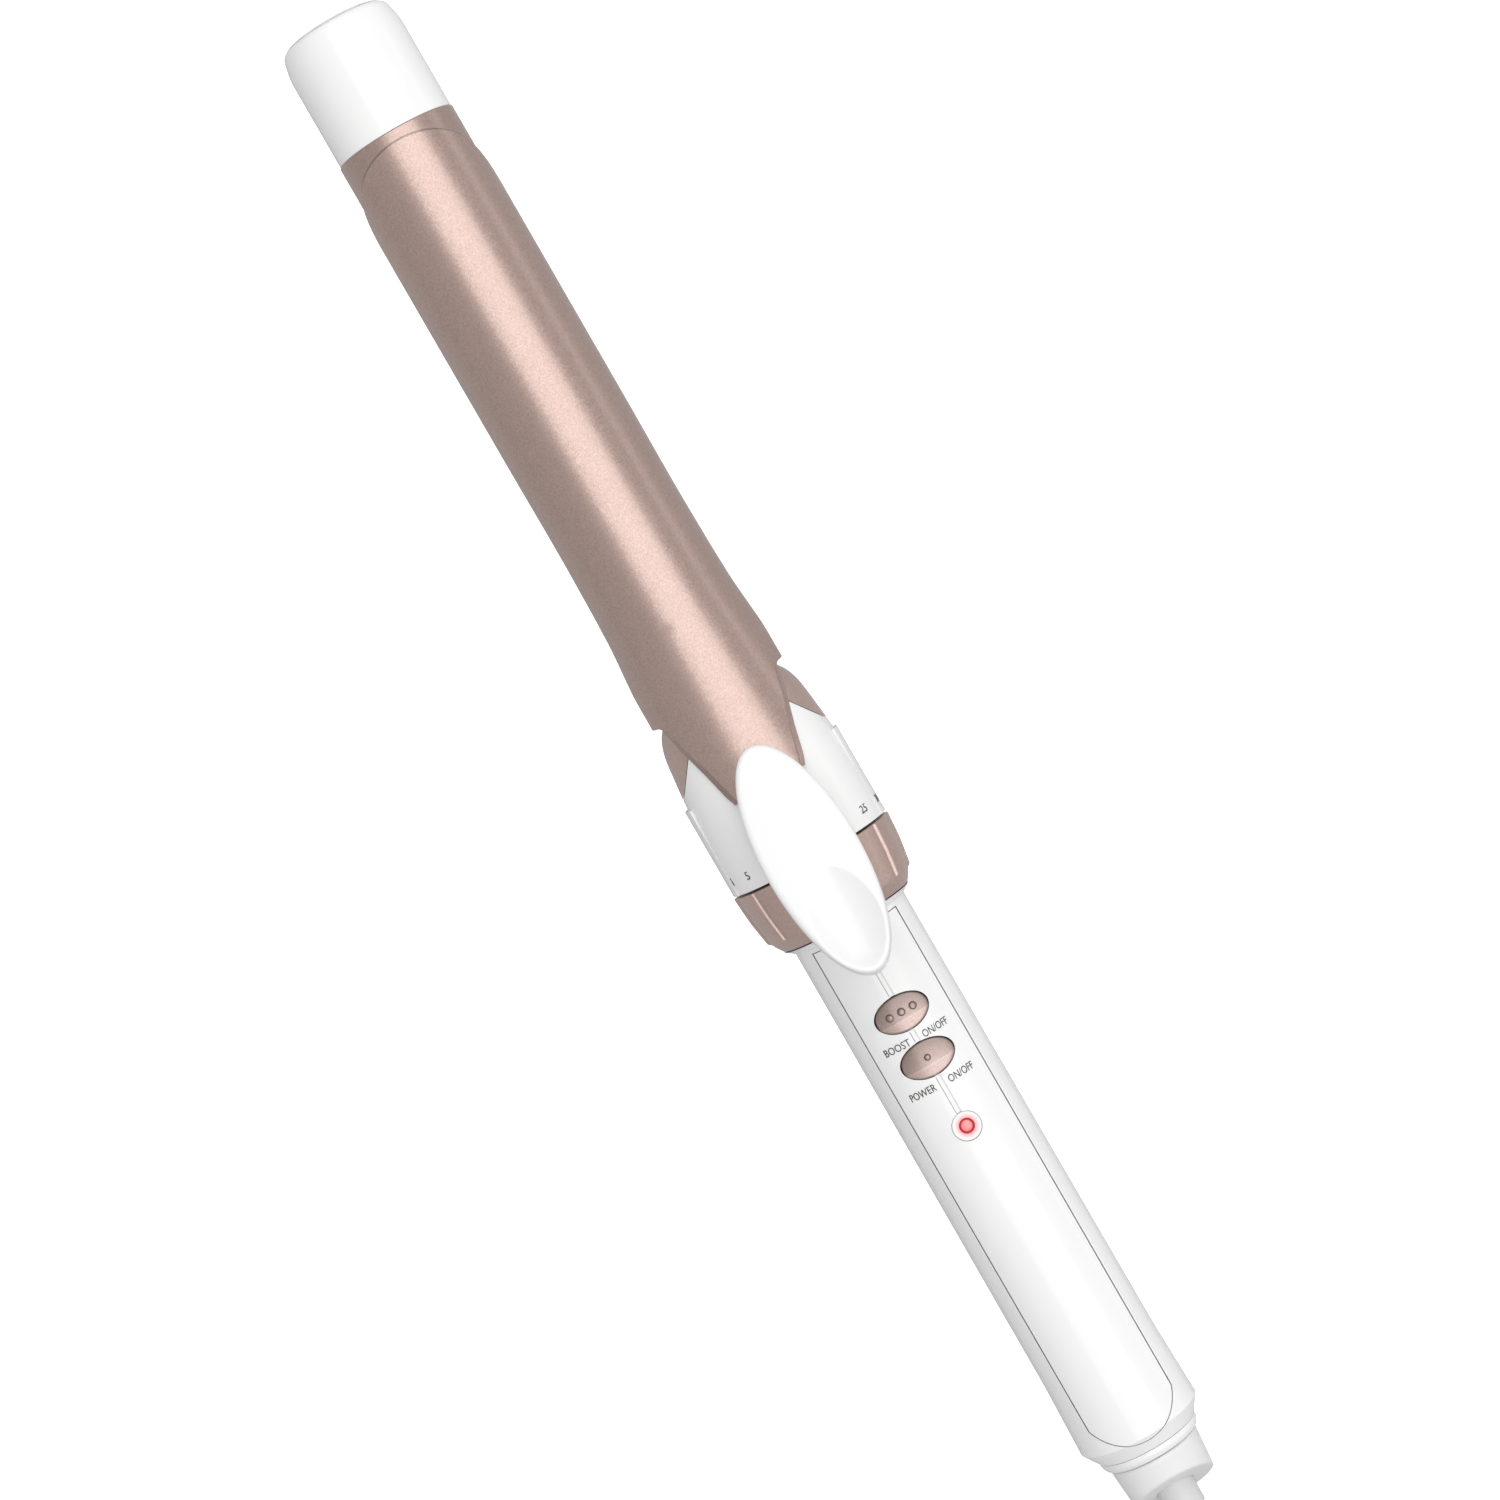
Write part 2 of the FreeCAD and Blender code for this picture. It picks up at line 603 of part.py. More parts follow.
def make_handle_group():
    """The two handle shells and the long control panel set into the upper one."""
    whole = turned(handle_outline() + [(handle_rear_x, handle_bore), (handle_front_x, handle_bore)])
    pocket = handle_skin(panel_thickness).common(panel_zone(seam))
    upper = whole.common(sector(handle_rear_x, handle_front_x, parting_angle)).cut(pocket)
    lower = whole.cut(sector(handle_rear_x - 1, handle_front_x + 1, parting_angle + 0.6))
    panel = handle_skin(panel_thickness - 0.02).common(panel_zone(0))

    holes = [light_hole()]
    for x in (boost_x, power_x):
        holes.append(ellipse_prism(x, button_half_along + button_gap, button_half_across + button_gap, 5, 30))
    for hole in holes:
        upper = upper.cut(hole)
        panel = panel.cut(hole)
    groove = block(light_x, panel_front_x + 1, -groove_width / 2, groove_width / 2,
                   handle_radius - groove_depth, 30)
    panel = panel.cut(groove)

    upper = upper.fuse(post(rear_screw_x, 0, 0.0, handle_bore + 0.3, 3.0))
    lower = lower.fuse(post(rear_screw_x, 0, -handle_bore - 0.3, -0.1, 3.0))
    screws = []
    for x, depth in ((rear_screw_x, -6.0), (neck_screw_x, neck_bore - 2.0)):
        shank = screw_shank(x, depth)
        head_z = -handle_radius + screw_head_depth
        head = post(x, 0, head_z - 1.1, head_z, screw_head_radius)
        upper = upper.cut(shank)
        lower = lower.cut([post(x, 0, -20, head_z, screw_head_radius + 0.15), shank])
        slot = block(x - 3, x + 3, -0.3, 0.3, head_z - 1.2, head_z - 0.5)
        cross_slot = block(x - 0.3, x + 0.3, -3, 3, head_z - 1.2, head_z - 0.5)
        screws.append(shank.fuse(head).cut([slot, cross_slot]))
    export("handle_upper_shell", upper)
    export("handle_lower_shell", lower)
    export("control_panel", panel)
    export("shell_screws", screws)


def screw_shank(x, depth):
    """A screw's threaded length, from under its head up to the given depth below the axis."""
    return post(x, 0, -handle_radius + screw_head_depth, -depth, screw_radius)


def light_hole():
    """The round window for the light, through the panel and the shell under it."""
    return post(light_x, 0, 5, 30, light_radius + slip_gap)


def make_button(x, dots):
    """An oval dished button with raised dots and a flange that holds it in."""
    top = handle_radius + button_stand_off
    cap = ellipse_prism(x, button_half_along, button_half_across, 6.5, 30).common(rod(x - 9, x + 9, top))
    cap = cap.cut(Part.makeSphere(16.0, V(x, 0, top + 16.0 - 0.55)))
    flange = ellipse_prism(x, button_half_along + 0.7, button_half_across + 0.6, 5.9, 6.9)
    button = cap.fuse(flange)
    for y, radius in dots:
        floor = top - 0.55 + y ** 2 / 32.0
        button = button.fuse(Part.makeSphere(radius, V(x, y, floor - radius * 0.45)))
    return button


def make_control_group():
    """Both buttons, their switches, the light and the parts on the circuit board."""
    export("boost_button", make_button(boost_x, [(-2.6, 0.75), (0.0, 0.75), (2.6, 0.75)]))
    export("power_button", make_button(power_x, [(0.0, 0.65)]))
    rear_x = board_front_x - board_length
    board = block(rear_x, board_front_x, -board_width / 2, board_width / 2, -board_top, board_top)
    export("circuit_board", board)
    for name, x in (("boost_switch", boost_x), ("power_switch", power_x)):
        case = block(x - 3, x + 3, -3, 3, board_top, board_top + 3.4)
        export(name, case.fuse(post(x, 0, board_top + 3.4, board_top + 4.2, 1.6)))

    dome_z = handle_radius - led_radius - 0.1
    dome = Part.makeSphere(led_radius, V(light_x, 0, dome_z))
    legs = [post(light_x + side * 0.9, 0, board_top, dome_z - 4, 0.3) for side in (1, -1)]
    led = post(light_x, 0, dome_z - 4, dome_z, led_radius).fuse(dome).fuse(legs)
    export("indicator_led", led)
    window = post(light_x, 0, handle_bore - 0.3, 30, light_radius).common(rod(light_x - 5, light_x + 5, handle_radius))
    export("light_window", window.cut(post(light_x, 0, 0, 30, led_radius + slip_gap)))

    triac_x = rear_x + 20
    export("power_triac", block(triac_x - 5, triac_x + 5, -7, 1.5, board_top, board_top + 4.5))
    export("film_capacitor", block(rear_x + 2, rear_x + 11, -6, 6, board_top, board_top + 6.5))
    export("smoothing_capacitor", rod(triac_x + 7, triac_x + 18, 2.5, 3.5, board_top + 2.5))
    export("supply_leads", [rod(contact_lug_x(), rear_x, 0.7, y) for y in (-contact_y, contact_y)])


# ---------------------------------------------------------------- cord swivel
def contact_lug_x():
    """Where the supply leads end and the contact springs' lugs begin."""
    return handle_rear_x + 18.0


def make_swivel_group():
    """The grey end ring, the seat that traps the swivel, and the turning cord outlet."""
    ring_rear_x = handle_rear_x - end_ring_length
    stem_bore = swivel_stem_radius + slip_gap
    collar = turned([
        (handle_rear_x + 1.4, stem_bore), (handle_rear_x + 1.4, handle_bore - slip_gap),
        (handle_rear_x - 0.15, handle_bore - slip_gap), (handle_rear_x - 0.15, handle_radius - 1.5),
        (handle_rear_x - 1.2, handle_radius - 1.55), (ring_rear_x, handle_radius - 2.1),
        (ring_rear_x, stem_bore)])
    export("end_ring", collar)
    seat_x = handle_rear_x + 3.2
    export("swivel_seat", ring(seat_x, seat_x + 3.0, handle_bore - slip_gap, stem_bore))

    body_front_x = ring_rear_x - 0.3
    body_rear_x = body_front_x - swivel_length
    tan_slope = math.tan(math.radians(swivel_face_slope))
    stem_front_x = seat_x + 4.0
    slip_front_x = stem_front_x + 9.0
    body = turned([
        (slip_front_x, 2.2), (slip_front_x, slip_stem_radius), (stem_front_x, slip_stem_radius),
        (stem_front_x, swivel_stem_radius), (seat_x - 0.1, swivel_stem_radius),
        (seat_x - 0.1, swivel_stem_radius + 1.4), (handle_rear_x + 1.5, swivel_stem_radius + 1.4),
        (handle_rear_x + 1.5, swivel_stem_radius), (body_front_x, swivel_stem_radius),
        (body_front_x, swivel_radius), (body_rear_x - 6, swivel_radius - 0.85), (body_rear_x - 6, 2.2)])
    reach = 14.0
    tail = side_prism([(body_rear_x + reach * tan_slope, reach), (body_rear_x - reach * tan_slope, -reach),
                       (body_rear_x - 30, -reach), (body_rear_x - 30, reach)], 20.0)
    gland_front_x = body_rear_x + gland_length / 2
    body = body.cut(tail).cut(rod(body_rear_x - 20, gland_front_x, gland_radius + slip_gap))
    export("swivel_body", body)
    gland_rear_x = gland_front_x - gland_length
    export("cord_gland", ring(gland_rear_x, gland_front_x, gland_radius, cord_bore_radius))

    rings = []
    contacts = []
    for offset, y in ((1.5, contact_y), (5.0, -contact_y)):
        x = stem_front_x + offset
        rings.append(ring(x, x + 1.8, slip_stem_radius + 0.6, slip_stem_radius))
        blade = block(x + 0.2, x + 1.6, y - 0.25, y + 0.25, -4.5, 4.5)
        lug = rod(x, contact_lug_x(), 0.9, y)
        contacts.append(blade.fuse(lug).cut(rod(-200, 0, slip_stem_radius + 0.75)))
    export("slip_rings", rings)
    export("contact_springs", contacts)


# ---------------------------------------------------------------- stand
def stand_pipe(radius):
    """A round bar along the stand's wire path: two tucked-in ends, two legs and a cross bar."""
    far_x = stand_pivot_x + stand_length
    near_bend = 2.6
    far_bend = 5.0
    half = stand_half_width
    z = stand_pivot_z
    corner = 1 - math.sqrt(0.5)
    edges = []
    for side in (1, -1):
        near_arc = Part.Arc(
            V(stand_pivot_x, side * (half - near_bend), z),
            V(stand_pivot_x + near_bend * corner, side * (half - near_bend * corner), z),
            V(stand_pivot_x + near_bend, side * half, z))
        far_arc = Part.Arc(
            V(far_x - far_bend, side * half, z),
            V(far_x - far_bend * corner, side * (half - far_bend * corner), z),
            V(far_x, side * (half - far_bend), z))
        edges.append(Part.makeLine(V(stand_pivot_x, side * stand_tuck, z),
                                   V(stand_pivot_x, side * (half - near_bend), z)))
        edges.append(near_arc.toShape())
        edges.append(Part.makeLine(V(stand_pivot_x + near_bend, side * half, z),
                                   V(far_x - far_bend, side * half, z)))
        edges.append(far_arc.toShape())
    edges.append(Part.makeLine(V(far_x, half - far_bend, z), V(far_x, far_bend - half, z)))
    path = Part.Wire(Part.__sortEdges__(edges))
    circle = Part.makeCircle(radius, V(stand_pivot_x, stand_tuck, z), V(0, 1, 0))
    return path.makePipeShell([Part.Wire(circle)], True, True)


def make_stand_group():
    """The wire stand under the housing, folded forward beneath the barrel, and its heat sleeve."""
    far_x = stand_pivot_x + stand_length
    z = stand_pivot_z
    export("stand_wire", stand_pipe(stand_wire_radius))
    sleeve = cross_rod(far_x, z, sleeve_radius, -4.0, 4.0)
    export("stand_sleeve", sleeve.cut(cross_rod(far_x, z, stand_wire_radius, -5, 5)))


make_barrel_group()
make_heater_group()
make_housing_group()
make_dial_group()
make_clamp_group()
make_handle_group()
make_control_group()
make_swivel_group()
make_stand_group()
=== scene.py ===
# %% [markdown]
# # A curling wand with a spring clamp
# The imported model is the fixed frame: its bodies move, and its nodes say where every piece sits.
# This lesson puts smooth, finished surfaces round that frame, and gives every piece its material.

# %% Load the frame
import json
import math

import bpy
import numpy as np
from mathutils import Matrix, Vector
from mathutils.bvhtree import BVHTree


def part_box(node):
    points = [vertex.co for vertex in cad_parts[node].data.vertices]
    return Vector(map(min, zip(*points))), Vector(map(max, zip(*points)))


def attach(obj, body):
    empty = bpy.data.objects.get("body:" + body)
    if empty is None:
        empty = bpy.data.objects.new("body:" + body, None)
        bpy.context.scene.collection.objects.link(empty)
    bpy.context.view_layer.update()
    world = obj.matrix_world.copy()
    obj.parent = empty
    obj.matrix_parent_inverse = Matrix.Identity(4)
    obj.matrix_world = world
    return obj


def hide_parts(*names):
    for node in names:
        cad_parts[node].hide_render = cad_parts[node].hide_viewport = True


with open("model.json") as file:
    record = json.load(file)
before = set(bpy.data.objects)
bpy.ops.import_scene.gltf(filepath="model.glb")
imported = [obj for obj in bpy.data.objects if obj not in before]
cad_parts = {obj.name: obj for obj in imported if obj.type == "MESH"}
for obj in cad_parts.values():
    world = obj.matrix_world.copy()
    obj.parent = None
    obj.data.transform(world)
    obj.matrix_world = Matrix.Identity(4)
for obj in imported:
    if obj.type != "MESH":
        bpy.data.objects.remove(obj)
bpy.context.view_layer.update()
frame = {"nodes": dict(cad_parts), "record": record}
nodes = frame["nodes"]
MM = 0.001

# %% [markdown]
# Most of the wand is turned about one line, its own axis. The barrel's box gives that line's height,
# and the boxes of a few other nodes give where pieces start and end along it.

# %% Places along the axis
def span(node):
    """Rear and front ends of a node along the wand, and its largest half width."""
    low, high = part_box(node)
    return low.x, high.x, high.y


barrel_low, barrel_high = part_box("barrel")
AXIS_Z = (barrel_low.z + barrel_high.z) / 2
BARREL_R = barrel_high.y
TO_AXIS = np.array([0.0, 0.0, AXIS_Z])
print("axis height", round(AXIS_Z, 4), "barrel radius", round(BARREL_R, 4))

# %% [markdown]
# ## Camera
# The camera looks almost straight down on the wand, a little ahead of its middle, and is rolled so
# that the hot tip points up and to the left.

# %% Camera
VIEW_X = 50 * MM
VIEW_HEIGHT = 736 * MM
AIM_X = 13.2 * MM
ROLL = math.radians(30.0)
SENSOR_WIDTH = 36.0
LENS = 89.2

camera_data = bpy.data.cameras.new("camera")
camera_data.sensor_width = SENSOR_WIDTH
camera_data.lens = LENS
camera = bpy.data.objects.new("camera", camera_data)
bpy.context.scene.collection.objects.link(camera)
eye = Vector((VIEW_X, 0.0, AXIS_Z + VIEW_HEIGHT))
forward = (Vector((AIM_X, 0.0, AXIS_Z)) - eye).normalized()
across = Vector((0.0, -1.0, 0.0))
along = across.cross(forward)
right = across * math.cos(ROLL) - along * math.sin(ROLL)
up = across * math.sin(ROLL) + along * math.cos(ROLL)
turn = Matrix((right, up, -forward)).transposed()
camera.matrix_world = Matrix.Translation(eye) @ turn.to_4x4()
bpy.context.scene.camera = camera
print("camera along", tuple(round(v, 4) for v in along), "right", tuple(round(v, 4) for v in right))

# %% [markdown]
# ## Floor and light
# A pale floor lies just under the foot. One very large soft light hangs high above, ahead of the
# wand and a little to its right, and gives the long highlight on the round barrel. A weak panel
# stands low on the same side. The world around them is a dimmer, even white, so that the
# sides of every round part fall off gently into grey. Seen directly, the world is as white as the
# floor, so the horizon doesn't show.

# %% Floor
FLOOR_HALF = 6.0
FLOOR_DROP = 0.2 * MM
floor_mesh = bpy.data.meshes.new("floor")
corners = np.array([(-1, -1, 0), (1, -1, 0), (1, 1, 0), (-1, 1, 0)], float) * FLOOR_HALF
floor_mesh.from_pydata(corners.tolist(), [], [(0, 1, 2, 3)])
floor = bpy.data.objects.new("floor", floor_mesh)
floor.location.z = -FLOOR_DROP
bpy.context.scene.collection.objects.link(floor)
print("floor half width:", FLOOR_HALF)


# %% Lights
def soft_panel(name, place, aim, size, size_y, watts):
    """A rectangular area light at place, facing aim."""
    light = bpy.data.lights.new(name, "AREA")
    light.shape = "RECTANGLE"
    light.size = size
    light.size_y = size_y
    light.energy = watts
    panel = bpy.data.objects.new(name, light)
    panel.location = place
    facing = Vector(aim) - Vector(place)
    panel.rotation_mode = "QUATERNION"
    panel.rotation_quaternion = facing.to_track_quat("-Z", "Y")
    bpy.context.scene.collection.objects.link(panel)


KEY_PLACE = (0.55, -0.36, 1.1)
KEY_AIM = (0.55, -0.36, 0.0)
SIDE_PLACE = (0.1, -1.6, 0.12)
WORLD_LIGHT = 0.59
soft_panel("key_light", KEY_PLACE, KEY_AIM, 2.7, 1.35, 15.6)
soft_panel("side_light", SIDE_PLACE, (0.0, 0.0, 0.0), 2.4, 0.5, 2.0)
world = bpy.data.worlds.new("studio")
world.use_nodes = True
sky = world.node_tree
background = sky.nodes["Background"]
background.inputs["Color"].default_value = (1.0, 1.0, 1.0, 1.0)
backdrop = sky.nodes.new("ShaderNodeLightPath")
brightness = sky.nodes.new("ShaderNodeMapRange")
brightness.inputs["To Min"].default_value = WORLD_LIGHT
brightness.inputs["To Max"].default_value = 1.0
sky.links.new(backdrop.outputs["Is Camera Ray"], brightness.inputs["Value"])
sky.links.new(brightness.outputs["Result"], background.inputs["Strength"])
bpy.context.scene.world = world
bpy.context.scene.view_settings.view_transform = "Standard"
print("lights:", [lamp.name for lamp in bpy.data.lights])

# %% [markdown]
# ## Shared shader groups
# Three effects are used by several finishes, so each is a node group with named sockets, built once.
# `fine_grain` gives the tiny unevenness of a moulded surface. `metal_flake` gives the sparkle of
# metallic paint: small cells, each with its own brightness and its own slight tilt. `handling`
# gives very faint, wide variation, as a clean but handled surface has.

# %% Group helper
def open_group(name, values, results):
    """An empty shader group: values are (name, type, default) inputs, results are (name, type) outputs."""
    tree = bpy.data.node_groups.new(name, "ShaderNodeTree")
    for title, kind, default in values:
        socket = tree.interface.new_socket(title, in_out="INPUT", socket_type=kind)
        socket.default_value = default
    for title, kind in results:
        tree.interface.new_socket(title, in_out="OUTPUT", socket_type=kind)
    start = tree.nodes.new("NodeGroupInput")
    end = tree.nodes.new("NodeGroupOutput")
    return tree, start.outputs, end.inputs


def add(tree, kind, **settings):
    """A node of this kind with these settings."""
    node = tree.nodes.new(kind)
    for key, value in settings.items():
        setattr(node, key, value)
    return node


def object_place(tree):
    """The socket that gives each point's place on the object."""
    return add(tree, "ShaderNodeTexCoord").outputs["Object"]


print("helpers ready")

# %% Moulded grain
grain, grain_in, grain_out = open_group(
    "fine_grain",
    [("Scale", "NodeSocketFloat", 900.0),
     ("Depth", "NodeSocketFloat", 0.00001),
     ("Roughness", "NodeSocketFloat", 0.2),
     ("Spread", "NodeSocketFloat", 0.06)],
    [("Roughness", "NodeSocketFloat"), ("Normal", "NodeSocketVector")])
fine = add(grain, "ShaderNodeTexNoise")
fine.inputs["Detail"].default_value = 3.0
wide = add(grain, "ShaderNodeTexNoise")
wide.inputs["Scale"].default_value = 38.0
spread = add(grain, "ShaderNodeMath", operation="MULTIPLY_ADD")
bump = add(grain, "ShaderNodeBump")
bump.inputs["Strength"].default_value = 1.0
place = object_place(grain)
links = grain.links
links.new(place, fine.inputs["Vector"])
links.new(place, wide.inputs["Vector"])
links.new(grain_in["Scale"], fine.inputs["Scale"])
links.new(wide.outputs["Fac"], spread.inputs[0])
links.new(grain_in["Spread"], spread.inputs[1])
links.new(grain_in["Roughness"], spread.inputs[2])
links.new(spread.outputs["Value"], grain_out["Roughness"])
links.new(fine.outputs["Fac"], bump.inputs["Height"])
links.new(grain_in["Depth"], bump.inputs["Distance"])
links.new(bump.outputs["Normal"], grain_out["Normal"])
print("fine_grain nodes:", len(grain.nodes))

# %% Metallic flake
flake, flake_in, flake_out = open_group(
    "metal_flake",
    [("Dark", "NodeSocketColor", (0.5, 0.4, 0.35, 1)),
     ("Light", "NodeSocketColor", (0.8, 0.7, 0.65, 1)),
     ("Cells", "NodeSocketFloat", 5200.0),
     ("Tilt", "NodeSocketFloat", 0.2),
     ("Roughness", "NodeSocketFloat", 0.3)],
    [("Color", "NodeSocketColor"), ("Roughness", "NodeSocketFloat"), ("Normal", "NodeSocketVector")])
cells = add(flake, "ShaderNodeTexVoronoi", feature="F1")
tone = add(flake, "ShaderNodeMix", data_type="RGBA")
cell_value = add(flake, "ShaderNodeSeparateColor")
rough = add(flake, "ShaderNodeMath", operation="MULTIPLY_ADD")
rough.inputs[1].default_value = 0.16
geometry = add(flake, "ShaderNodeNewGeometry")
centred = add(flake, "ShaderNodeVectorMath", operation="SUBTRACT")
centred.inputs[1].default_value = (0.5, 0.5, 0.5)
leaning = add(flake, "ShaderNodeVectorMath", operation="SCALE")
summed = add(flake, "ShaderNodeVectorMath", operation="ADD")
unit = add(flake, "ShaderNodeVectorMath", operation="NORMALIZE")
links = flake.links
links.new(object_place(flake), cells.inputs["Vector"])
links.new(flake_in["Cells"], cells.inputs["Scale"])
links.new(cells.outputs["Color"], cell_value.inputs["Color"])
links.new(cell_value.outputs["Red"], tone.inputs["Factor"])
links.new(flake_in["Dark"], tone.inputs["A"])
links.new(flake_in["Light"], tone.inputs["B"])
links.new(tone.outputs["Result"], flake_out["Color"])
links.new(cell_value.outputs["Green"], rough.inputs[0])
links.new(flake_in["Roughness"], rough.inputs[2])
links.new(rough.outputs["Value"], flake_out["Roughness"])
links.new(cells.outputs["Color"], centred.inputs[0])
links.new(centred.outputs["Vector"], leaning.inputs[0])
links.new(flake_in["Tilt"], leaning.inputs["Scale"])
links.new(geometry.outputs["Normal"], summed.inputs[0])
links.new(leaning.outputs["Vector"], summed.inputs[1])
links.new(summed.outputs["Vector"], unit.inputs[0])
links.new(unit.outputs["Vector"], flake_out["Normal"])
print("metal_flake nodes:", len(flake.nodes))

# %% Handled surface
handling, handling_in, handling_out = open_group(
    "handling",
    [("Base", "NodeSocketColor", (0.8, 0.8, 0.8, 1)),
     ("Worn", "NodeSocketColor", (0.7, 0.7, 0.7, 1)),
     ("Scale", "NodeSocketFloat", 60.0),
     ("Amount", "NodeSocketFloat", 0.3)],
    [("Color", "NodeSocketColor")])
cloud = add(handling, "ShaderNodeTexNoise")
cloud.inputs["Detail"].default_value = 4.0
share = add(handling, "ShaderNodeMath", operation="MULTIPLY")
blend_tones = add(handling, "ShaderNodeMix", data_type="RGBA")
links = handling.links
links.new(object_place(handling), cloud.inputs["Vector"])
links.new(handling_in["Scale"], cloud.inputs["Scale"])
links.new(cloud.outputs["Fac"], share.inputs[0])
links.new(handling_in["Amount"], share.inputs[1])
links.new(share.outputs["Value"], blend_tones.inputs["Factor"])
links.new(handling_in["Base"], blend_tones.inputs["A"])
links.new(handling_in["Worn"], blend_tones.inputs["B"])
links.new(blend_tones.outputs["Result"], handling_out["Color"])
print("shader groups:", [group.name for group in bpy.data.node_groups])


# %% [markdown]
# ## Finishes
# Each finish is one material. Its plain numbers sit on the shader's own sockets, and the groups
# feed only what changes over the surface.

# %% Material helpers
# Colour of the painted shade on the rose clamp and buttons, used where their tone attribute is high.
ROSE_PAINTED_SHADE = (0.12, 0.075, 0.06)


def new_finish(name, **values):
    """A material with a Principled shader whose named sockets take these plain values."""
    material = bpy.data.materials.new(name)
    material.use_nodes = True
    shader = material.node_tree.nodes["Principled BSDF"]
    for socket, value in values.items():
        shader.inputs[socket.replace("_", " ")].default_value = value
    return material, material.node_tree, shader


def place_group(tree, group, **values):
    """The group as a node in this material, with its own values."""
    node = tree.nodes.new("ShaderNodeGroup")
    node.node_tree = group
    for socket, value in values.items():
        node.inputs[socket].default_value = value
    return node


def wire(tree, source, shader, *sockets):
    """Link these outputs of a group to the shader's sockets of the same name. Color goes to Base Color."""
    for socket in sockets:
        target = "Base Color" if socket == "Color" else socket
        tree.links.new(source.outputs[socket], shader.inputs[target])


def moulded(name, base, worn, roughness, grain_depth=0.000004):
    """A moulded plastic or rubber: two close tones and a fine grain."""
    material, tree, shader = new_finish(name)
    tones = place_group(tree, handling, Base=(*base, 1), Worn=(*worn, 1))
    skin = place_group(tree, grain, Depth=grain_depth, Roughness=roughness)
    wire(tree, tones, shader, "Color")
    wire(tree, skin, shader, "Roughness", "Normal")
    return material


def flaked(name, dark, light, roughness, tilt):
    """A metallic paint or coat whose flakes differ in tone and lean a little, under a soft clear coat."""
    clear_coat = {"Coat_Weight": 0.6, "Coat_Roughness": 0.2, "Coat_IOR": 1.9}
    material, tree, shader = new_finish(name, Metallic=1.0, **clear_coat)
    tones = {"Dark": (*dark, 1), "Light": (*light, 1)}
    specks = place_group(tree, flake, Tilt=tilt, Roughness=roughness, **tones)
    wire(tree, specks, shader, "Color", "Roughness", "Normal")
    return material


def toned_rose(name, dark, light, roughness, tilt):
    """The flaked finish with painted shade: it goes towards a deep rose shade colour wherever the piece's own
    tone attribute is high.
    """
    material = flaked(name, dark, light, roughness, tilt)
    tree = material.node_tree
    shader = tree.nodes["Principled BSDF"]
    flake_colour = shader.inputs["Base Color"].links[0].from_socket
    shade_of = add(tree, "ShaderNodeAttribute", attribute_name="tone")
    painted_shade_mix = add(tree, "ShaderNodeMix", data_type="RGBA")
    painted_shade_mix.inputs["B"].default_value = (*ROSE_PAINTED_SHADE, 1)
    tree.links.new(flake_colour, painted_shade_mix.inputs["A"])
    tree.links.new(shade_of.outputs["Fac"], painted_shade_mix.inputs["Factor"])
    tree.links.new(painted_shade_mix.outputs["Result"], shader.inputs["Base Color"])
    return material


def bare_metal(name, base, worn, roughness):
    """Plain metal with soft wide variation and a fine grain."""
    material, tree, shader = new_finish(name, Metallic=1.0)
    tones = place_group(tree, handling, Base=(*base, 1), Worn=(*worn, 1), Scale=240.0, Amount=0.6)
    skin = place_group(tree, grain, Scale=1500.0, Depth=0.000003, Roughness=roughness, Spread=0.15)
    wire(tree, tones, shader, "Color")
    wire(tree, skin, shader, "Roughness", "Normal")
    return material


print("material helpers ready")

# %% [markdown]
# The pilot light's two finishes read how far a point is from the light's upright axis, and a colour
# ramp turns that distance into the glow: bright in the middle, with a deeper ring at the edge of
# the light. The window is no lamp: its pink colour and glow close to the light are painted light.

# %% Glow finishes
LIGHT_X = -71.4
LED_R = 1.5
WINDOW_R = 3.0
GLOW_STRENGTH = 0.8


def radial_finish(name, stops, emission, **values):
    """A finish whose colour and glow follow ramps over the distance from the light's upright axis. The
    distance is in shares of the window's radius."""
    material, tree, shader = new_finish(name, Emission_Strength=GLOW_STRENGTH, **values)
    place = add(tree, "ShaderNodeTexCoord")
    flatten = add(tree, "ShaderNodeVectorMath", operation="MULTIPLY_ADD")
    flatten.inputs[1].default_value = (1 / (WINDOW_R * MM), 1 / (WINDOW_R * MM), 0.0)
    flatten.inputs[2].default_value = (-LIGHT_X / WINDOW_R, 0.0, 0.0)
    apart = add(tree, "ShaderNodeVectorMath", operation="LENGTH")
    tree.links.new(place.outputs["Object"], flatten.inputs[0])
    tree.links.new(flatten.outputs["Vector"], apart.inputs[0])
    for socket, colours in (("Base Color", stops), ("Emission Color", emission)):
        ramp = add(tree, "ShaderNodeValToRGB")
        while len(ramp.color_ramp.elements) < len(colours):
            ramp.color_ramp.elements.new(1.0)
        for element, (at, colour) in zip(ramp.color_ramp.elements, colours):
            element.position = at
            element.color = (*colour, 1)
        tree.links.new(apart.outputs["Value"], ramp.inputs["Fac"])
        tree.links.new(ramp.outputs["Color"], shader.inputs[socket])
    return material


led_base = [(0.0, (0.60, 0.22, 0.22)), (0.33, (0.58, 0.19, 0.19)), (0.42, (0.38, 0.03, 0.04)),
            (0.5, (0.42, 0.05, 0.06))]
led_glow = [(0.0, (0.42, 0.14, 0.14)), (0.33, (0.40, 0.12, 0.12)), (0.42, (0.20, 0.005, 0.01)),
            (0.5, (0.22, 0.02, 0.025))]
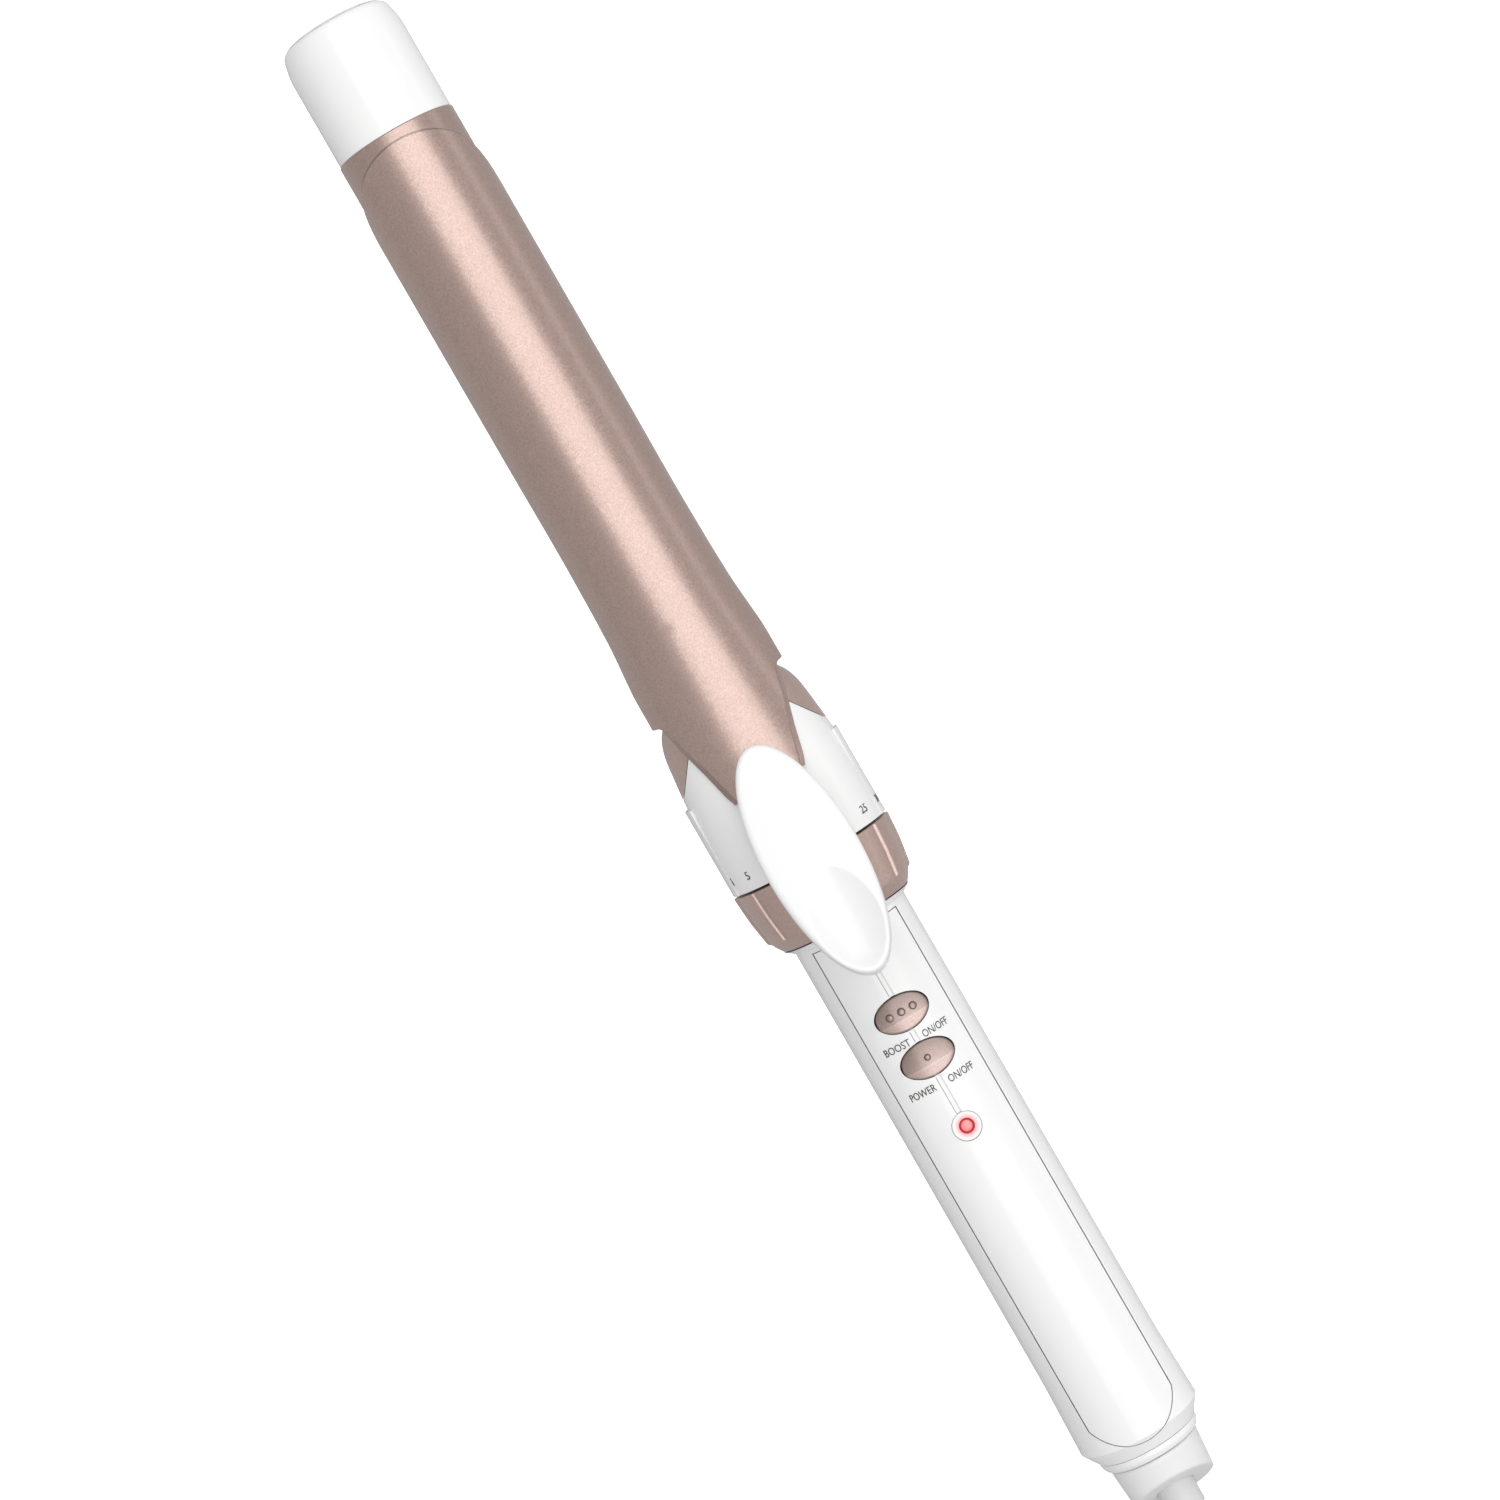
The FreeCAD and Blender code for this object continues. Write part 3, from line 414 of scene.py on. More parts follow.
# The window's pink base colour and its glow near the light are painted light from the pilot light.
window_colour_and_painted_glow = [(0.5, (0.74, 0.26, 0.28)), (0.66, (0.84, 0.58, 0.59)), (0.84, (0.87, 0.83, 0.82)),
               (0.93, (0.86, 0.87, 0.85)), (1.0, (0.42, 0.47, 0.43))]
window_glow = [(0.5, (0.20, 0.03, 0.03)), (0.64, (0.10, 0.01, 0.01)), (0.8, (0.0, 0.0, 0.0))]
print("glow ramps of the light:", len(led_base), "and", len(led_glow), "stops")
print("glow ramps of the window:", len(window_colour_and_painted_glow), "and", len(window_glow), "stops")

# %% [markdown]
# One finish for each material slot comes next, with a few more for pieces that differ in gloss or
# tone from their slot's own. Every node of the frame gets the finish of its slot.

# %% The finishes
FINE_GRAIN = 0.000001
finishes = {
    "white_plastic": moulded("white_gloss", (0.87, 0.869, 0.867), (0.845, 0.844, 0.842), 0.13, FINE_GRAIN),
    "swivel_white": moulded("swivel_moulding", (0.80, 0.80, 0.80), (0.78, 0.78, 0.78), 0.3, FINE_GRAIN),
    "gland_white": moulded("gland_moulding", (0.66, 0.66, 0.66), (0.63, 0.63, 0.63), 0.4, FINE_GRAIN),
    "lever_white": moulded("lever_gloss", (0.85, 0.85, 0.85), (0.83, 0.83, 0.83), 0.16, FINE_GRAIN),
    "rose_coating": flaked("rose_ceramic_coat", (0.42, 0.29, 0.25), (0.52, 0.378, 0.333), 0.30, 0.08),
    # The clamp and the buttons get painted shade from the tone attribute of their pieces.
    "rose_metal": toned_rose("rose_clamp_coat_painted_shade", (0.44, 0.302, 0.26), (0.545, 0.40, 0.353), 0.30, 0.08),
    "rose_button": toned_rose("rose_button", (0.56, 0.42, 0.378), (0.64, 0.49, 0.445), 0.42, 0.025),
    "rose_plastic": flaked("rose_moulding", (0.52, 0.37, 0.325), (0.62, 0.455, 0.40), 0.38, 0.04),
    "grey_plastic": moulded("pale_grey", (0.78, 0.78, 0.78), (0.72, 0.72, 0.72), 0.25),
    "dark_plastic": moulded("black_moulding", (0.03, 0.03, 0.03), (0.05, 0.05, 0.05), 0.45),
    "heat_plastic": moulded("heat_moulding", (0.55, 0.50, 0.42), (0.48, 0.44, 0.37), 0.5, 0.00001),
    "steel": bare_metal("zinc_steel", (0.62, 0.62, 0.63), (0.52, 0.52, 0.54), 0.24),
    "spreader": bare_metal("extruded_aluminium", (0.80, 0.80, 0.81), (0.70, 0.70, 0.71), 0.32),
    "heater_ceramic": moulded("fired_ceramic", (0.83, 0.80, 0.74), (0.76, 0.72, 0.66), 0.6, 0.00002),
    "film": moulded("amber_film", (0.62, 0.30, 0.05), (0.54, 0.25, 0.04), 0.2),
    "lead": moulded("silicone_lead", (0.60, 0.06, 0.05), (0.50, 0.05, 0.04), 0.5),
    "board": moulded("solder_mask", (0.02, 0.20, 0.08), (0.02, 0.16, 0.07), 0.3),
    "component": moulded("black_component", (0.02, 0.02, 0.022), (0.04, 0.04, 0.04), 0.4),
    "brass": bare_metal("bright_brass", (0.78, 0.58, 0.25), (0.65, 0.46, 0.18), 0.22),
    "light": radial_finish("red_light_lens", led_base, led_glow, Roughness=0.15, Coat_Weight=0.5),
    "window": radial_finish("milky_light_window", window_colour_and_painted_glow, window_glow, Roughness=0.2),
    "sleeve": moulded("silicone_sleeve", (0.10, 0.10, 0.10), (0.14, 0.14, 0.14), 0.6),
}
FLOOR_GREY = (0.52, 0.52, 0.52, 1)
floor_finish, tree, shader = new_finish(
    "pale_floor", Base_Color=FLOOR_GREY, Roughness=0.9, Emission_Color=(1.0, 1.0, 1.0, 1))
seen = add(tree, "ShaderNodeLightPath")
tree.links.new(seen.outputs["Is Camera Ray"], shader.inputs["Emission Strength"])
floor.data.materials.append(floor_finish)
slot_of = {entry["node"]: entry["material_slot"] for entry in frame["record"]["subparts"]}
for node_name, node in nodes.items():
    finish = finishes[slot_of[node_name]]
    if node.material_slots:
        for material_slot in node.material_slots:
            material_slot.material = finish
    else:
        node.data.materials.append(finish)
print("finishes:", len(finishes), "nodes dressed:", len(nodes))

# %% [markdown]
# ## Surfaces as grids
# Every new piece below is a surface worked out as a grid of points: one direction runs along a
# profile, the other runs round. The helpers turn such a grid into a closed mesh, and work in
# millimetres about the wand's own axis, because that is how its sizes are easiest to think of.

# %% Grid helpers
def wrap_quads(rows, columns, joined=False):
    """Quads of a grid whose columns run all the way round. Each joins a point, the next point round its
    row, and the same two in the next row. With joined, the last row meets the first."""
    row = np.arange(rows if joined else rows - 1)[:, None]
    column = np.arange(columns)[None, :]
    under = (row + 1) % rows
    beside = (column + 1) % columns
    upper = [row * columns + column, row * columns + beside]
    lower = [under * columns + beside, under * columns + column]
    return np.stack(upper + lower, -1).reshape(-1, 4)


def enclosed_volume(points, quads):
    """Signed volume inside the quads: a sixth of the sum of each triangle's box product."""
    a, b, c, d = (points[quads[:, k]] for k in range(4))
    first = np.einsum("ij,ij->i", a, np.cross(b, c))
    second = np.einsum("ij,ij->i", a, np.cross(c, d))
    return (first.sum() + second.sum()) / 6.0


def dress(piece, finish, body, stands_for=()):
    """Give a finished piece its material, its body and the CAD nodes that it stands for."""
    piece.data.materials.append(finish)
    bpy.context.scene.collection.objects.link(piece)
    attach(piece, body)
    if stands_for:
        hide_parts(*stands_for)
    return piece


def grid_piece(name, grid, joined=False, tone=None):
    """An object from a grid of points (rows, columns, 3) in millimetres about the axis. Open ends get one
    end face. The faces are turned outwards by the sign of the enclosed volume."""
    rows, columns = grid.shape[:2]
    points = grid.reshape(-1, 3)
    quads = wrap_quads(rows, columns, joined)
    first_row = list(range(columns))
    last_row = list(range((rows - 1) * columns, rows * columns))
    ends = [] if joined else [first_row[::-1], last_row]
    centred = points - points.mean(0)
    if enclosed_volume(centred, quads) < 0:
        quads = quads[:, ::-1]
        ends = [end[::-1] for end in ends]
    mesh = bpy.data.meshes.new(name)
    mesh.from_pydata((points * MM + TO_AXIS).tolist(), [], quads.tolist() + ends)
    mesh.polygons.foreach_set("use_smooth", np.ones(len(mesh.polygons), bool))
    # The tone attribute holds painted shade and painted highlight, which the rose finishes read.
    if tone is not None:
        shade = mesh.attributes.new("tone", "FLOAT", "POINT")
        shade.data.foreach_set("value", tone.reshape(-1).astype(np.float32))
    mesh.validate()
    mesh.update()
    print(name, "has", len(mesh.vertices), "points")
    return bpy.data.objects.new(name, mesh)


def rounded(corners, radii, steps=6):
    """A closed outline with soft corners. Near each corner P it follows the curve that starts a radius
    before P, ends a radius after it and is drawn towards P: (1-t)(1-t) S + 2t(1-t) P + tt E. One extra
    point on each side keeps the flats flat."""
    corners = np.array(corners, float)
    radii = np.broadcast_to(np.array(radii, float), len(corners))[:, None]
    ahead = np.roll(corners, -1, 0) - corners
    behind = np.roll(corners, 1, 0) - corners
    ahead /= np.linalg.norm(ahead, axis=1, keepdims=True)
    behind /= np.linalg.norm(behind, axis=1, keepdims=True)
    t = np.linspace(0.0, 1.0, steps)[None, :, None]
    start = (corners + behind * radii)[:, None]
    end = (corners + ahead * radii)[:, None]
    bend = (1 - t) ** 2 * start + 2 * t * (1 - t) * corners[:, None] + t ** 2 * end
    before = (corners + behind * radii * 1.3)[:, None]
    after = (corners + ahead * radii * 1.3)[:, None]
    return np.concatenate([before, bend, after], 1).reshape(-1, 2)


def spun(profile, columns=160):
    """The grid of a turned shape: each profile point (x, r) goes round the axis to (x, r sin a, r cos a)."""
    angle = np.linspace(0.0, 2 * np.pi, columns, endpoint=False)[None, :]
    x, radius = profile[:, 0][:, None], profile[:, 1][:, None]
    return np.stack([x + 0 * angle, radius * np.sin(angle), radius * np.cos(angle)], -1)


def mesh_points(mesh):
    """The mesh's points as an array of rows (x, y, z)."""
    flat = np.empty(len(mesh.vertices) * 3)
    mesh.vertices.foreach_get("co", flat)
    return flat.reshape(-1, 3)


def smooth_line(knots, at):
    """A smooth line through knots (x rising). Between two knots it is the cubic that passes both and takes
    its slope at each end from the knots around it."""
    knots = np.array(knots, float)
    x, y = knots[:, 0], knots[:, 1]
    slope = np.gradient(y, x)
    k = np.clip(np.searchsorted(x, at) - 1, 0, len(x) - 2)
    width = x[k + 1] - x[k]
    t = np.clip((at - x[k]) / width, 0.0, 1.0)
    rise = (2 * t**3 - 3 * t**2 + 1) * y[k] + (3 * t**2 - 2 * t**3) * y[k + 1]
    return rise + (t**3 - 2 * t**2 + t) * width * slope[k] + (t**3 - t**2) * width * slope[k + 1]


print("grid helpers ready")

# %% [markdown]
# ## Barrel and tip cap
# The barrel is a coated aluminium tube and the tip cap is a heat-proof moulding that stays cool
# enough to hold. Both are turned shapes, so a profile with soft corners is spun round the axis.
# The small roundings matter more than anything else here: a real edge always catches light.

# %% Barrel and cap sizes
BARREL_REAR, BARREL_FRONT, BARREL_HALF = (value / MM for value in span("barrel"))
CAP_FRONT = span("tip_cap")[1] / MM
CAP_R = 12.5
CAP_WALL = 1.8
CAP_SPIGOT = 8.0
BARREL_BORE = 11.5
NEAR_AXIS = 0.02
print("barrel from", round(BARREL_REAR, 1), "to", round(BARREL_FRONT, 1), "cap to", round(CAP_FRONT, 1))

# %% Make the barrel and the cap
barrel_profile = rounded([(BARREL_REAR, BARREL_BORE), (BARREL_REAR, BARREL_HALF), (BARREL_FRONT, BARREL_HALF),
                          (BARREL_FRONT, BARREL_BORE)], 0.18)
barrel = grid_piece("barrel_tube", spun(barrel_profile), joined=True)
dress(barrel, finishes["rose_coating"], "handle", ["barrel"])

cap_bore = CAP_R - CAP_WALL
spigot_rear = BARREL_FRONT - CAP_SPIGOT
spigot_r = BARREL_BORE - 0.05
cap_profile = rounded([
    (CAP_FRONT - 2.2, NEAR_AXIS), (CAP_FRONT - 2.2, cap_bore - 1.0), (spigot_rear, cap_bore - 1.0),
    (spigot_rear, spigot_r), (BARREL_FRONT + 0.06, spigot_r), (BARREL_FRONT + 0.06, CAP_R),
    (CAP_FRONT - 5.0, CAP_R), (CAP_FRONT - 1.2, CAP_R - 0.9), (CAP_FRONT, CAP_R - 2.6),
    (CAP_FRONT, NEAR_AXIS)],
    [0.005, 0.5, 0.1, 0.1, 0.03, 0.2, 1.8, 0.8, 0.9, 0.005], 8)
cap_profile = cap_profile[cap_profile[:, 1] >= NEAR_AXIS]
cap = grid_piece("cool_tip", spun(cap_profile))
dress(cap, finishes["white_plastic"], "handle", ["tip_cap"])


# %% [markdown]
# ## Spoon clamp
# The clamp is one pressed sheet: a half round over the barrel with a semicircular tip, wings that
# flare out over the front housing and end square, and a tongue that narrows under the thumb lever.
# Its grid follows the sheet's section round its two faces and its rounded edges, and the section
# changes along the length: one line gives its radius and another gives how far it reaches round.
# A value at each point paints shade into the finish: darker along the cut edges, round the tip, in a band along
# the left border and in a line inside the right border.

# %% Spoon sizes
HOUSING_R = 16.97
HOUSING_STEP = HOUSING_R - BARREL_HALF
SHEET = 0.7
SPOON_R = BARREL_HALF + 0.12 + SHEET
SPOON_TIP = span("clamp_spoon")[1] / MM
TONGUE_END = span("clamp_spoon")[0] / MM
TIP_CIRCLE = 22.0
WING_END = 26.3
KINK_X = 42.2
KINK_RISE = 0.16
FLARE_START = 61.5
BORDER_WIDTH = 1.2
BORDER_START = 48.0
BORDER_EASE = 12.0
LINE_HALF = 0.16
BORDER_FALL = 0.30
TIP_LINE = 0.42
# Strengths of the painted shade on the cut edges, the line round the tip, the left border band and the line
# inside the right border.
RIM_PAINTED_SHADE = 0.75
TIP_PAINTED_SHADE = 0.6
LEFT_PAINTED_SHADE = 0.34
RIGHT_PAINTED_SHADE = 0.4


def spoon_radius(x):
    """Outer radius of the sheet: level on the barrel, then a smooth rise over the housing to the tongue."""
    shares = [(-6.0, 0.70), (0.0, 0.54), (9.0, 0.33), (20.0, 0.08), (32.0, 0.0), (60.0, 0.0),
              (140.0, 0.0)]
    knots = [(TONGUE_END - 0.1, HOUSING_R + 1.2), (TONGUE_END + 7.8, HOUSING_R + 0.35)]
    knots += [(WING_END + ahead, SPOON_R + share * HOUSING_STEP) for ahead, share in shares]
    return smooth_line(knots, x)


def spoon_reach(x):
    """How far the sheet goes round on each side, in radians: a quarter turn on the barrel, less where the
    wing's lower edge rises, and on the tongue the angle whose sine is half width over radius."""
    radius = spoon_radius(x)
    lower_edge = np.interp(x, [WING_END, 34.0, 50.0], [4.6, 1.6, 0.0])
    wing = np.arccos(np.clip(lower_edge / radius, 0.0, 1.0))
    half_width = np.interp(x, [TONGUE_END, 13.8, 20.5, WING_END], [8.4, 10.3, 12.3, 13.6])
    tongue = np.arcsin(np.clip(half_width / radius, 0.0, 1.0))
    joined = np.clip((x - WING_END) / 0.35 + 1.0, 0.0, 1.0)
    return tongue + (wing - tongue) * joined


print("spoon from", round(TONGUE_END, 1), "to", round(SPOON_TIP, 1))

# %% Make the spoon
turn = np.linspace(math.radians(0.6), math.asin(min(1.0, SPOON_R * math.pi / 2 / TIP_CIRCLE)), 60)
tip_x = SPOON_TIP - TIP_CIRCLE * (1 - np.cos(turn))
tip_reach = TIP_CIRCLE * np.sin(turn) / SPOON_R
straight_x = np.concatenate([
    np.linspace(tip_x[-1] - 0.6, FLARE_START + 0.5, 60), np.linspace(FLARE_START, WING_END + 0.05, 110),
    np.linspace(WING_END - 0.05, WING_END - 0.3, 3), np.linspace(25.6, TONGUE_END, 40)])
spoon_x = np.concatenate([tip_x, straight_x])
reach = np.concatenate([tip_reach, spoon_reach(straight_x)])
half_sheet = SHEET / 2
across_top = np.linspace(-1.0, 1.0, 97)
edge_turn = np.linspace(0.0, np.pi, 9)[1:-1]
flat_part = np.zeros_like(across_top)
side = np.ones_like(edge_turn)
section_share = np.concatenate([across_top, side, across_top[::-1], -side])
section_out = np.concatenate([flat_part, np.sin(edge_turn), flat_part, -np.sin(edge_turn)])
section_rise = np.concatenate([flat_part + 1, np.cos(edge_turn), flat_part - 1, -np.cos(edge_turn)])
end_turn = np.linspace(0.0, np.pi / 2, 6)
plain_rows = len(spoon_x) - 2 * (len(end_turn) - 1)
end_thin = np.concatenate([np.cos(end_turn[:0:-1]), np.ones(plain_rows), np.cos(end_turn[1:])])
end_thin = end_thin.clip(0.04, 1.0)
middle_r = spoon_radius(spoon_x) - half_sheet
round_angle = (reach - half_sheet / middle_r)[:, None].clip(0.004) * section_share
round_angle = round_angle + (end_thin * half_sheet / middle_r)[:, None] * section_out
kink = KINK_RISE * np.exp(-((spoon_x[:, None] - KINK_X) / 1.1) ** 2) * np.exp(-(round_angle / 0.13) ** 2)
from_edge = (1 - np.abs(section_share)) * reach[:, None] * middle_r[:, None]
border_fade = np.clip((BORDER_START - spoon_x[:, None]) / BORDER_EASE, 0.0, 1.0)
ahead_of_circle = spoon_x[:, None] - (SPOON_TIP - TIP_CIRCLE)
from_tip = TIP_CIRCLE - np.hypot(ahead_of_circle, round_angle * middle_r[:, None])
ahead = spoon_x[:, None] > SPOON_TIP - TIP_CIRCLE
border = BORDER_FALL * np.clip(BORDER_WIDTH - from_edge, 0.0, None) * border_fade
spoon_r = middle_r[:, None] + half_sheet * end_thin[:, None] * section_rise + kink
spoon_r = spoon_r - border * (1 + section_rise) / 2
# Painted shade: darker on the cut edges, on a line round the tip, on a band by the left edge and on a line
# inside the right border.
spoon_painted_shade = RIM_PAINTED_SHADE * np.clip(1 - np.abs(section_rise), 0.0, 1.0) ** 0.5 + 0 * spoon_r
tip_edge = ahead & (from_tip < TIP_LINE)
spoon_painted_shade = np.where(tip_edge, np.maximum(spoon_painted_shade, TIP_PAINTED_SHADE), spoon_painted_shade)
near_side = from_edge < BORDER_WIDTH
left_painted_shade_band = LEFT_PAINTED_SHADE * near_side * (section_share < 0) * border_fade
inner_edge = np.exp(-((from_edge - BORDER_WIDTH) / LINE_HALF) ** 2)
right_painted_shade_line = RIGHT_PAINTED_SHADE * inner_edge * (section_share > 0) * border_fade
spoon_painted_shade = np.maximum(spoon_painted_shade, np.maximum(left_painted_shade_band, right_painted_shade_line))
spoon_y = -spoon_r * np.sin(round_angle)
spoon_z = spoon_r * np.cos(round_angle)
spoon_grid = np.stack([spoon_x[:, None] + 0 * spoon_r, spoon_y, spoon_z], -1)
spoon = grid_piece("spoon_sheet", spoon_grid, tone=spoon_painted_shade)
dress(spoon, finishes["rose_metal"], "clamp", ["clamp_spoon"])


# %% [markdown]
# ## Thumb lever
# The lever is a glossy oval moulding that climbs towards the tail, with a shallow oval dish for the
# thumb and a soft rim. Its grid is made of ovals, one inside the other: they start at the middle of
# the hollow underside, go round the rim and come in over the top, where the dish is pressed in.

# %% Lever sizes
LEVER_FRONT_X = 15.1
LEVER_FRONT_Z = HOUSING_R + 3.03
LEVER_HALF_LENGTH = 25.5
LEVER_HALF_WIDTH = 9.55
LEVER_SLOPE = math.radians(20.0)
LEVER_SKIN = 2.2
LEVER_SKIRT = 3.6
LEVER_WALL = 1.6
DISH_BACK = 14.2
DISH_HALF = (11.4, 6.7)
DISH_DEPTH = 2.3
DISH_EASE = 0.04
LEVER_CROWN = 0.35
RIM_BAND = 2.5


def tilted(points):
    """Points of the lever's own frame, turned by its slope about its front end and set in place."""
    x, y, z = points[..., 0] - LEVER_HALF_LENGTH, points[..., 1], points[..., 2]
    forward_x = x * math.cos(LEVER_SLOPE) + z * math.sin(LEVER_SLOPE)
    raised = z * math.cos(LEVER_SLOPE) - x * math.sin(LEVER_SLOPE)
    return np.stack([forward_x + LEVER_FRONT_X, y, raised + LEVER_FRONT_Z], -1)


def dish_sink(x, y):
    """Depth of the thumb dish: full at its middle, falling as one minus the square of the distance in oval
    radii, with the last part eased so that the lip is soft."""
    oval = np.sqrt(((x + DISH_BACK) / DISH_HALF[0]) ** 2 + (y / DISH_HALF[1]) ** 2)
    inside = np.clip(1 - oval**2, 0.0, None)
    return DISH_DEPTH * (np.sqrt(inside**2 + DISH_EASE**2) - DISH_EASE)


print("lever length:", 2 * LEVER_HALF_LENGTH)

# %% Make the lever
CORNER_STEPS = 9
CORNER_POINTS = CORNER_STEPS + 2
NEAR_MIDDLE = 9.5
INNERMOST = 9.53
lever_rim = rounded(
    [(0.0, -LEVER_SKIRT), (0.0, 0.0), (NEAR_MIDDLE, 0.0), (NEAR_MIDDLE, -LEVER_SKIN),
     (LEVER_WALL, -LEVER_SKIN), (LEVER_WALL, -LEVER_SKIRT)],
    [0.35, 1.25, 0.01, 0.01, 0.4, 0.35], CORNER_STEPS)
under_part = lever_rim[4 * CORNER_POINTS:]
outer_part = lever_rim[:2 * CORNER_POINTS]
top_inset = np.linspace(outer_part[-1, 0] + 0.1, INNERMOST, 80)
inset = np.concatenate([[NEAR_MIDDLE], under_part[:, 0], outer_part[:, 0], top_inset])[:, None]
level = np.concatenate([[-LEVER_SKIN], under_part[:, 1], outer_part[:, 1], 0 * top_inset])[:, None]
inset = np.clip(inset, 0.0, INNERMOST)
bearing = np.linspace(0.0, 2 * np.pi, 224, endpoint=False)[None, :]
shrink = 1 - inset / LEVER_HALF_WIDTH
lever_x = (LEVER_HALF_LENGTH - inset) * np.cos(bearing)
inner_x = (LEVER_HALF_LENGTH - RIM_BAND) * shrink / (1 - RIM_BAND / LEVER_HALF_WIDTH) * np.cos(bearing)
lever_x = np.where(inset > RIM_BAND, inner_x, lever_x)
lever_y = (LEVER_HALF_WIDTH - inset) * np.sin(bearing)
on_top = (np.arange(len(inset)) >= 1 + len(under_part) + CORNER_POINTS)[:, None]
crown = LEVER_CROWN * (1 - (lever_x / LEVER_HALF_LENGTH) ** 2 - (lever_y / LEVER_HALF_WIDTH) ** 2).clip(0.0)
lever_z = level + on_top * (crown - dish_sink(lever_x, lever_y))
lever = grid_piece("thumb_paddle", tilted(np.stack([lever_x, lever_y, lever_z], -1)))
dress(lever, finishes["lever_white"], "clamp", ["thumb_lever"])


# %% [markdown]
# ## Temperature dial
# The dial is a ring that turns on the neck, with ten raised ribs for the fingers. The ribs are part
# of the same surface: the radius grows by the rib's height wherever the angle is near a rib, with
# an eased flank, and the growth fades out where the ring's rear edge turns in. That edge reaches a
# little further back than the frame's own dial, so that only a narrow gap is left behind it.

# %% Make the dial
DIAL_REAR, DIAL_FRONT = (value / MM for value in span("temperature_dial")[:2])
DIAL_R = HOUSING_R + 0.13
DIAL_BORE = 12.55
DIAL_OVERHANG = 0.35
DIAL_COLUMNS = 800
RIBS = 10
RIB_HEIGHT = 0.5
RIB_HALF = 0.5
RIB_FLANK = 0.3
ring_end = DIAL_REAR - DIAL_OVERHANG
dial_profile = rounded([
    (DIAL_FRONT, DIAL_BORE), (DIAL_FRONT, DIAL_R), (DIAL_FRONT - 5.7, DIAL_R - 0.4),
    (DIAL_REAR + 2.3, DIAL_R - 1.3), (DIAL_REAR + 1.2, DIAL_R - 1.9), (ring_end, DIAL_R - 2.9),
    (ring_end, DIAL_BORE)],
    [0.1, 0.35, 1.2, 0.5, 0.4, 0.5, 0.1], 7)
dial_grid = spun(dial_profile, DIAL_COLUMNS)
dial_angle = np.linspace(0.0, 2 * np.pi, DIAL_COLUMNS, endpoint=False)[None, :]
rib_pitch = 2 * np.pi / RIBS
off_rib = (np.mod(dial_angle, rib_pitch) - rib_pitch / 2) * DIAL_R
rib_shape = 1 / (1 + np.exp((np.abs(off_rib) - RIB_HALF) / (RIB_FLANK / 4)))
rib_fade = np.interp(dial_profile[:, 0], [DIAL_REAR + 1.9, DIAL_REAR + 2.5], [0.0, 1.0])
rib_fade = rib_fade * np.clip((dial_profile[:, 1] - (DIAL_R - 2.2)) / 0.8, 0.0, 1.0)
swell = 1 + RIB_HEIGHT * rib_shape * rib_fade[:, None] / dial_profile[:, 1][:, None]
dial_grid[..., 1:] *= swell[..., None]
dial = grid_piece("dial_ring", dial_grid, joined=True)
dress(dial, finishes["rose_plastic"], "dial", ["temperature_dial"])


# %% [markdown]
# ## Push buttons
# Each button is an oval cap set in the panel. A fine crease crosses its rear third, and small domes
# mark it for the finger: three on the boost button and one on the power button. The top is one
# height function over nested ovals. A value stored at each point paints shade into the finish:
# darker round each dome, at the outline and on the larger face in front of the crease, with a
# painted highlight along the crease.

# %% Button shape
BUTTON_HALF_ALONG = 3.63
BUTTON_HALF_ACROSS = 5.7
HANDLE_R = 12.4
BUTTON_TOP = HANDLE_R + 0.4
CREASE_BACK = 1.35
FRONT_SLOPE = 0.13
REAR_SLOPE = 0.03
WALL_TOP = 11.8
ROLL_R = 0.4
TOP_SINK = 0.05
DOME_X = 0.25
DOME_RISE = 0.34
# Painted shade on the cap: the front face, the ring round each dome and the outline. The crease gets a painted
# highlight.
FRONT_PAINTED_SHADE = 0.42
FRONT_PAINTED_SHADE_RISE = 0.34
REAR_PAINTED_SHADE = 0.10
DOME_RING_PAINTED_SHADE = 0.5
EDGE_PAINTED_SHADE = 0.12
CREASE_HIGHLIGHT_HALF = 0.14


